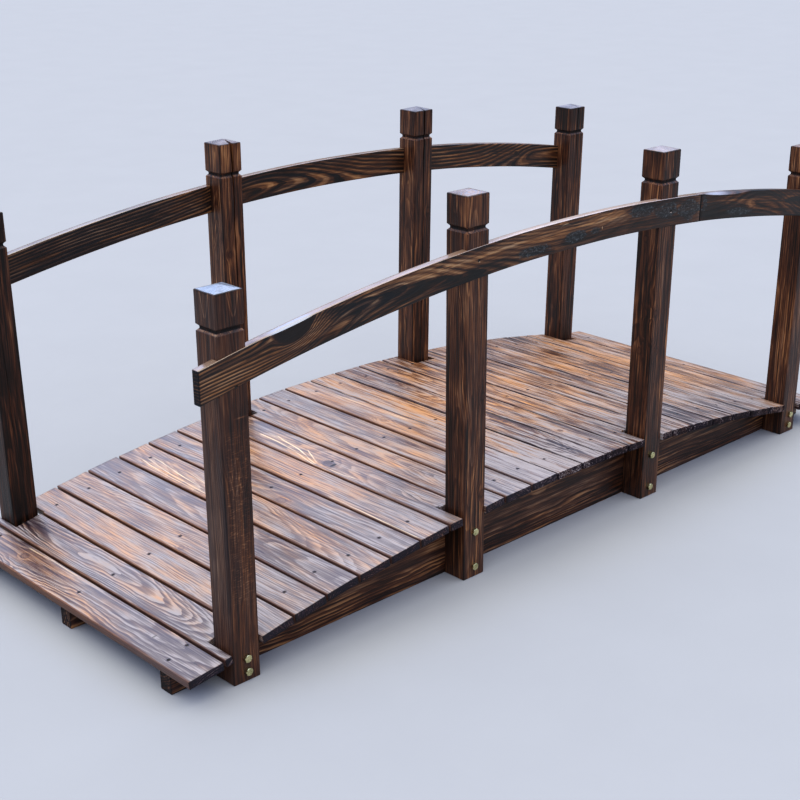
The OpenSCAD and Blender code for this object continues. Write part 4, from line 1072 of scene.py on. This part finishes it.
RAILS = {
    "handrail_front_long": dict(side=-1.0, x0=-RAIL_END, x1=RAIL_JOINT - 0.5, seed=61.3,
        wood=dict(path=(10.0, [(-1110, -62, 8), (-960, -60, 10), (-880, -46, 14), (-760, -8, 22), (-640, 2, 30), (-533, 2, 37), (-440, -6, 44),
                               (-330, -32, 50), (-200, -52, 58), (0, -66, 66), (140, -40, 66), (300, 10, 56), (473, 40, 50)]),
                  ring=6.4, shade=0.01, red=0.25, knots=[(-872, 40, 38, "w", 0.13, 1.42)],
                  figures=[(-1110, 1.3), (-930, 1.3), (-780, 1.0), (-600, 0.9), (-350, 0.9), (-120, 0.6), (40, 0.4), (180, 0.15), (473, 0.05)],
                  vees=[(-705, 16, 58, 12, -0.32, -0.3), (-638, 10, 62, 14, -0.34, -0.3), (-561, 7, 60, 16, -0.32, -0.2), (-440, -5, 130, 18, -0.34, 0.1),
                        (-318, -22, 110, 16, -0.28, 0.1), (30, 10, -160, 22, 0.06, 0.2)],
                  strokes=[([(-76, 20), (-63, 26), (-46, 26), (-33, 20)], 1.9, 0.40)],
                  spots=[(-1030, 0, 120, 40, 0.05, 0.4), (-960, 22, 50, 18, -0.10, 0.2), (-760, -28, 160, 10, -0.12, 0.2), (-500, 22, 110, 12, 0.16, 0.1),
                         (-350, 18, 120, 11, 0.13, 0.0), (-830, -10, 110, 30, 0.04, 0.3), (-80, 0, 420, 60, -0.055, 0.1), (-600, 28, 120, 6, 0.10, 0.2), (-560, -32, 260, 8, -0.14, 0.2),
                         (-330, -22, 110, 16, -0.14, 0.2), (-170, 20, 150, 13, 0.12, 0.1), (-70, -10, 60, 24, 0.06, 0.9), (-150, -24, 60, 14, -0.16, 0.2),
                         (80, 20, 100, 12, 0.18, 0.0), (-20, -14, 46, 16, -0.18, 0.0), (150, -20, 130, 18, -0.10, 1.5), (330, 6, 170, 40, -0.20, 0.0),
                         (250, 20, 60, 14, -0.14, -0.2), (310, -32, 160, 7, 0.02, 1.4), (-54, 30, 15, 5, 0.24, 0.2), (80, -4, 1.9, 3.2, 0.8, -0.6)],
                  flakes=[(-165, -14, 56, 12), (-15, -8, 40, 14), (60, -6, 22, 6), (235, 14, 55, 14), (330, 4, 50, 22), (425, 0, 46, 28)],
                  # the pale tagged blue is a painted sky reflection on the wane
                  pales=[(-560, 220, 0.20), (60, 420, 0.95), (-876, 66, 0.8, "blue")])),
    "handrail_front_short": dict(side=-1.0, x0=RAIL_JOINT + 0.5, x1=RAIL_END, seed=67.9,
        wood=dict(path=(10.0, [(470, -40, 30), (560, -34, 34), (640, -4, 36), (700, 2, 28), (770, 4, 20), (840, -8, 22), (940, -44, 30), (1110, -62, 40)]),
                  ring=8.4, shade=-0.19, red=0.8, figures=[(470, 0.1), (600, 0.4), (700, 0.7), (900, 0.5), (1110, 0.9)],
                  vees=[(735, 0, 70, 15, 0.20, 0.9), (700, -6, 70, 13, -0.16, 0.0), (868, 7, -80, 13, -0.26, -0.6), (850, 8, -90, 24, 0.16, 0.6)],
                  spots=[(540, -10, 60, 22, -0.14, 0.4), (590, 12, 60, 12, 0.08, 1.2), (500, 4, 30, 26, 0.04, 1.0), (790, 10, 50, 12, 0.06, 0.8), (620, -26, 160, 9, -0.10, 0.0), (980, 0, 80, 26, -0.06, -0.2)],
                  # the pale tagged blue is a painted sky reflection on the worn round edge
                  flakes=[(482, 10, 9, 26), (650, -18, 60, 10)], pales=[(590, 120, 0.8, "blue")], dulls=[(860, 330, 0.9)])),
    "handrail_back": dict(side=1.0, x0=-RAIL_END, x1=RAIL_END, seed=73.1,
        wood=dict(path=(-10.0, [(-1110, -50, 20), (-700, -58, 18), (-400, -46, 18), (-280, -14, 18), (-150, -2, 30), (0, -22, 42), (150, -46, 52),
                                (420, -62, 52), (640, -58, 44), (790, -24, 30), (870, -4, 20), (1000, 8, 16), (1110, 10, 16)]),
                  ring=8.0, shade=-0.05, red=0.6, dulls=[(740, 400, 0.35)], knots=[(796, 6, 6, "w", 0.2)],
                  figures=[(-1110, 1.3), (-300, 1.3), (1110, 1.3)],
                  spots=[(-760, 0, 300, 60, -0.04, -1.2), (-700, 6, 260, 30, -0.10, 0.0), (-510, 0, 60, 16, 0.14, 0.2), (-900, -6, 60, 6, 0.08, 1.2), (-640, -20, 160, 5, 0.08, 1.4),
                         (-150, 24, 160, 8, -0.12, 0.0), (-60, -8, 120, 9, 0.14, 0.8), (-200, -2, 60, 8, 0.12, 0.6), (150, 0, 150, 20, 0.05, 1.0),
                         (200, -22, 60, 6, 0.16, 0.5), (560, 20, 260, 12, -0.06, 0.4), (700, -12, 260, 12, 0.06, 0.4), (835, -26, 30, 6, 0.2, 0.3)])),
}
screw_parts = {"front": [], "back": []}
for node, facts in RAILS.items():
    row = "front" if facts["side"] < 0 else "back"
    v, f = rail_mesh(facts["x0"], facts["x1"], front_wane if facts["side"] < 0 else None)
    me = raw_mesh("rail", v, f)
    place = rail_place(facts["side"], int(facts["seed"]))
    holes = []
    for x, z in RAIL_SCREWS[row]:
        if facts["x0"] < x < facts["x1"]:
            u, vv = screw_uv(x, z)
            holes.append(screw_hole(u, vv))
            rings = [np.array([(u + r * math.cos(a), vv + r * math.sin(a), w) for a in np.arange(12) * math.pi / 6])
                     for w, r in ((3.0, 1.6), (8.0, 1.6), (8.5, 3.9), (8.9, 3.8), (8.95, 2.0), (8.4, 1.4))]
            sv, sf = loft(rings)
            screw_parts[row].append((place(sv), sf))
    hv, hf = many(holes)
    me = carve(me, raw_mesh("cut", hv, hf))
    u0, u1 = (RAIL_R * math.asin(facts[k] / RAIL_R) for k in ("x0", "x1"))
    mat = wood("wood_" + node, RAIL, facts["seed"], ((u1 - u0) / 2, RAIL_H / 2, RAIL_T / 2), ((u0 + u1) / 2, 0.0, 0.0), **facts["wood"])
    finish_piece(node.replace("handrail", "rail"), me, place, mat, node, smooth_deg=30.0)

# ---------------------------------------------------------------- stringers
STRINGERS = {
    "stringer_front": dict(y=-(POST_IN - STRINGER_T / 2), seed=81.7,
        wood=dict(pith=(34, -60), lean=(0.004, 0.01), ring=8.0, shade=0.05, red=0.2, knots=[(-300, 8, 10, "w", 0.2)],
                  spots=[(-700, -62, 260, 12, 0.12, 1.0), (-700, -40, 240, 6, 0.10, 0.8), (-560, -30, 200, 8, -0.10, 0.0), (0, -10, 200, 34, 0.02, -0.3), (700, -40, 220, 30, -0.10, 0.0)])),
    "stringer_middle": dict(y=0.0, seed=85.1, wood=dict(pith=(-20, -70), lean=(0.01, 0.02), ring=7.0, shade=0.0, red=0.1)),
    "stringer_back": dict(y=POST_IN - STRINGER_T / 2, seed=88.9, wood=dict(pith=(10, 64), lean=(-0.01, 0.01), ring=7.6, shade=0.02, red=0.2, knots=[(420, -20, 12, "w", 0.3)])),
}
for node, facts in STRINGERS.items():
    xs = [-FOOT_X, -FOOT_X + 0.6, -FOOT_X + 1.8] + list(np.linspace(-FOOT_X + 14, -SEAT_X, 5)) + list(np.linspace(-SEAT_X + 15, SEAT_X - 15, 120))
    xs += list(np.linspace(SEAT_X, FOOT_X - 14, 5)) + [FOOT_X - 1.8, FOOT_X - 0.6, FOOT_X]
    rings = []
    for k, x in enumerate(xs):
        inset = {0: 1.4, 1: 0.5, 2: 0.0}.get(min(k, len(xs) - 1 - k), 0.0)
        z1 = stringer_top(x)
        o = round_rect(z1 / 2 - inset, STRINGER_T / 2 - inset, [2.0] * 4, (8, 4), 2)
        rings.append(np.column_stack([np.full(len(o), x), o[:, 0] + z1 / 2 - 90.0, o[:, 1]]))
    v, f = loft(rings)
    me = raw_mesh("stringer", v, f)

    def place(p, y=facts["y"]):
        return np.stack([p[:, 0], y - p[:, 2], p[:, 1] + 90.0], 1)

    mat = wood("wood_" + node, STRINGER, facts["seed"], (FOOT_X, 90.0, STRINGER_T / 2), (0.0, 0.0, 0.0), **facts["wood"])
    finish_piece(node.replace("stringer", "beam"), me, place, mat, node, smooth_deg=30.0)

# ---------------------------------------------------------------- bolts, nails and screws
def hexagon(r_flat, turn):
    r = r_flat / math.cos(math.pi / 6)
    return [(r * math.cos(turn + k * math.pi / 3), r * math.sin(turn + k * math.pi / 3)) for k in range(6)]


def hex_block(cx, cz, y0, y1, flat, turn, crown):
    """A hexagon between y0 and y1 with its outer corners turned down, as a head or a nut."""
    hx = []
    for k in range(6):                                   # 24 points round, so that the chamfer can be a circle
        a, b = hexagon(flat, turn)[k], hexagon(flat, turn)[(k + 1) % 6]
        for j in range(4):
            hx.append((a[0] + (b[0] - a[0]) * j / 4, a[1] + (b[1] - a[1]) * j / 4))
    hx = np.array(hx)
    ang = np.arctan2(hx[:, 1], hx[:, 0])
    rad = np.hypot(hx[:, 0], hx[:, 1])
    s = 1.0 if y1 > y0 else -1.0
    high = abs(y1 - y0)
    rings = []
    for y, r in ((0.0, rad * 0.985), (0.35, rad), (high - crown * 1.0, np.minimum(rad, flat * 1.155)),):
        rings.append((y, r))
    drop = np.clip((rad - flat * 0.97) / (flat * 0.185), 0, 1) * crown
    rings[-1] = (high - 0.35 - drop, rad)
    rings.append((high - 0.1 * np.ones_like(rad), np.full_like(rad, flat * 0.95)))
    rings.append((high * np.ones_like(rad), np.full_like(rad, flat * 0.90)))
    rings.append((high * np.ones_like(rad), np.full_like(rad, flat * 0.35)))
    out = []
    for y, r in rings:
        yy = y0 + s * (y if np.ndim(y) else np.full(24, float(y)))
        out.append(np.stack([cx + r * np.cos(ang), yy, cz + r * np.sin(ang)], 1))
    return loft(out)


def round_block(cx, cz, ys, rs, sides=20):
    a = np.arange(sides) * 2 * math.pi / sides
    return loft([np.stack([cx + r * np.cos(a), np.full(sides, float(y)), cz + r * np.sin(a)], 1) for y, r in zip(ys, rs)])


zinc = steel("plated_steel", (0.88, 0.80, 0.46), (0.34, 0.34, 0.17), 0.26)
dark_steel = steel("nail_steel", (0.10, 0.085, 0.075), (0.025, 0.020, 0.018), 0.5)
BOLTS = {("front", 1): [(2, 23), (1, 55)], ("front", 2): [(8, 28), (7, 120)], ("front", 3): [(2, 28), (1, 120)], ("front", 4): [(-1, 23), (2, 55)],
         ("back", 1): [(0, 24), (-2, 55)], ("back", 2): [(2, 28), (0, 119)], ("back", 3): [(-2, 29), (1, 121)], ("back", 4): [(1, 22), (0, 56)]}
for (row, k), spots in BOLTS.items():
    side = -1.0 if row == "front" else 1.0
    parts = []
    for j, (dx, z) in enumerate(spots):
        cx = POST_X[k - 1] + dx
        face, inner = side * POSTS_OUT / 2, side * (POST_IN - STRINGER_T)
        turn = 0.4 + 0.9 * j + 0.5 * k
        parts.append(hex_block(cx, z, face - side * 0.2, face + side * 6.6, 8.4, turn, 1.2))
        parts.append(round_block(cx, z, (inner + side * 0.2, inner - side * 0.5, inner - side * 1.7, inner - side * 2.0), (10.2, 10.5, 10.5, 10.0), 24))
        parts.append(hex_block(cx, z, inner - side * 2.0, inner - side * 9.8, 8.4, turn + 0.5, 1.2))
        ys, rs = [inner - side * 9.6], [4.3]
        for n in range(5):
            ys += [inner - side * (10.2 + n * 1.5), inner - side * (10.95 + n * 1.5)]
            rs += [4.9, 4.2]
        ys += [inner - side * 17.6, inner - side * 18.2]
        rs += [4.7, 3.8]
        parts.append(round_block(cx, z, ys, rs, 16))
    v, f = many(parts)
    finish_piece(f"bolts_{row}_{k}", raw_mesh("bolts", v, f), lambda p: p, zinc, None, smooth_deg=35.0)

v, f = many(nail_parts)
finish_piece("deck_nails", raw_mesh("nails", v, f), lambda p: p, dark_steel, smooth_deg=40.0)
for row, parts in screw_parts.items():
    v, f = many(parts)
    finish_piece(f"rail_screws_{row}", raw_mesh("screws", v, f), lambda p: p, dark_steel, smooth_deg=40.0)

# ---------------------------------------------------------------- floor, light and camera
bm = bmesh.new()
bmesh.ops.create_circle(bm, cap_ends=True, cap_tris=True, segments=64, radius=45.0)
me = bpy.data.meshes.new("floor")
bm.to_mesh(me)
bm.free()
floor = link(me, "floor")
mat, t, bsdf = new_material("floor")
co = t.nt.nodes.new("ShaderNodeTexCoord").outputs["Object"]
mm = t.v("SCALE", co, scale=1000.0)
grain = t.noise(mm, (300, 300, 300), 4.0, 0.6)
t.put(bsdf.inputs["Base Color"], t.ramp(t.mad(grain, 0.6, 0.5), [(0.0, (0.350, 0.352, 0.356)), (1.0, (0.385, 0.386, 0.388))]))
bsdf.inputs["Roughness"].default_value = 0.95
bsdf.inputs["IOR"].default_value = 1.15
# seen from below the floor is clear, so that the underside can be looked at
clear = t.nt.nodes.new("ShaderNodeBsdfTransparent")
geo = t.nt.nodes.new("ShaderNodeNewGeometry")
both = t.nt.nodes.new("ShaderNodeMixShader")
t.nt.links.new(geo.outputs["Backfacing"], both.inputs[0])
t.nt.links.new(bsdf.outputs[0], both.inputs[1])
t.nt.links.new(clear.outputs[0], both.inputs[2])
t.nt.links.new(both.outputs[0], t.nt.nodes["Material Output"].inputs[0])
me.materials.append(mat)

# a pale backdrop for views from the side and from below; it is only seen and neither lights nor reflects
bm = bmesh.new()
bmesh.ops.create_icosphere(bm, subdivisions=4, radius=44.5)
bmesh.ops.reverse_faces(bm, faces=bm.faces[:])
for f in bm.faces:
    f.smooth = True
me = bpy.data.meshes.new("backdrop")
bm.to_mesh(me)
bm.free()
backdrop = link(me, "backdrop")
mat = bpy.data.materials.new("backdrop")
mat.use_nodes = True
bt = Tree(mat.node_tree)
mat.node_tree.nodes.clear()
co = mat.node_tree.nodes.new("ShaderNodeTexCoord").outputs["Object"]
mist = bt.noise(bt.v("SCALE", co, scale=1.0), (30, 30, 30), 2.0, 0.5)
glow = mat.node_tree.nodes.new("ShaderNodeEmission")
bt.put(glow.inputs["Color"], bt.ramp(bt.mad(mist, 0.5, 0.5), [(0.0, (0.655, 0.700, 0.812)), (1.0, (0.694, 0.733, 0.833))]))
glow.inputs["Strength"].default_value = 1.0
mo = mat.node_tree.nodes.new("ShaderNodeOutputMaterial")
mat.node_tree.links.new(glow.outputs[0], mo.inputs[0])
me.materials.append(mat)
for kind in ("diffuse", "glossy", "transmission", "volume_scatter", "shadow"):
    setattr(backdrop, "visible_" + kind, False)

world = bpy.data.worlds.new("studio")
bpy.context.scene.world = world
world.use_nodes = True
wt = Tree(world.node_tree)
world.node_tree.nodes.clear()
up = wt.sep(world.node_tree.nodes.new("ShaderNodeTexCoord").outputs["Generated"])[2]
STRENGTH = 3.0
SKY = [(0.0, (0.13, 0.11, 0.09)), (0.10, (0.15, 0.14, 0.125)), (0.20, (0.22, 0.23, 0.24)), (0.30, (0.50, 0.60, 0.72)),
       (0.38, (1.02, 1.22, 1.72)), (0.46, (1.44, 1.76, 2.60)), (0.58, (1.66, 1.96, 2.90)), (0.70, (1.95, 2.06, 2.50)),
       (0.85, (2.35, 2.32, 2.26)), (1.0, (2.70, 2.65, 2.30))]
light = wt.ramp(up, [(at, tuple(c / STRENGTH for c in col)) for at, col in SKY])
bg = world.node_tree.nodes.new("ShaderNodeBackground")
bg.inputs["Strength"].default_value = STRENGTH
world.node_tree.links.new(light, bg.inputs[0])
wo = world.node_tree.nodes.new("ShaderNodeOutputWorld")
world.node_tree.links.new(bg.outputs[0], wo.inputs[0])

scene = bpy.context.scene
scene.view_settings.view_transform = "Standard"
scene.view_settings.look = "None"
scene.view_settings.exposure = 0.0
scene.view_settings.gamma = 0.86

ROWS = ((0.7210940017, -0.6928368748, -0.0007110179),
        (-0.2860331627, -0.2967639164, -0.9111071330),
        (0.6310376142, 0.6571972632, -0.4121690026))   # the camera's right, down and forward
right, down, ahead = (Vector(r).normalized() for r in ROWS)
cam_data = bpy.data.cameras.new("camera")
cam = bpy.data.objects.new("camera", cam_data)
scene.collection.objects.link(cam)
rot = Matrix((right, -down, -ahead)).transposed()
cam.matrix_world = Matrix.Translation((-2.59123361, -2.57729445, 1.59891950)) @ rot.to_4x4()
cam_data.sensor_fit = "HORIZONTAL"
cam_data.sensor_width = 36.0
cam_data.lens = 36.0 * 1443.84 / 800.0
cam_data.shift_x = (400.0 - 405.141) / 800.0
cam_data.shift_y = (499.207 - 400.0) / 800.0
cam_data.clip_start, cam_data.clip_end = 0.05, 200.0
scene.camera = cam

bpy.context.view_layer.update()
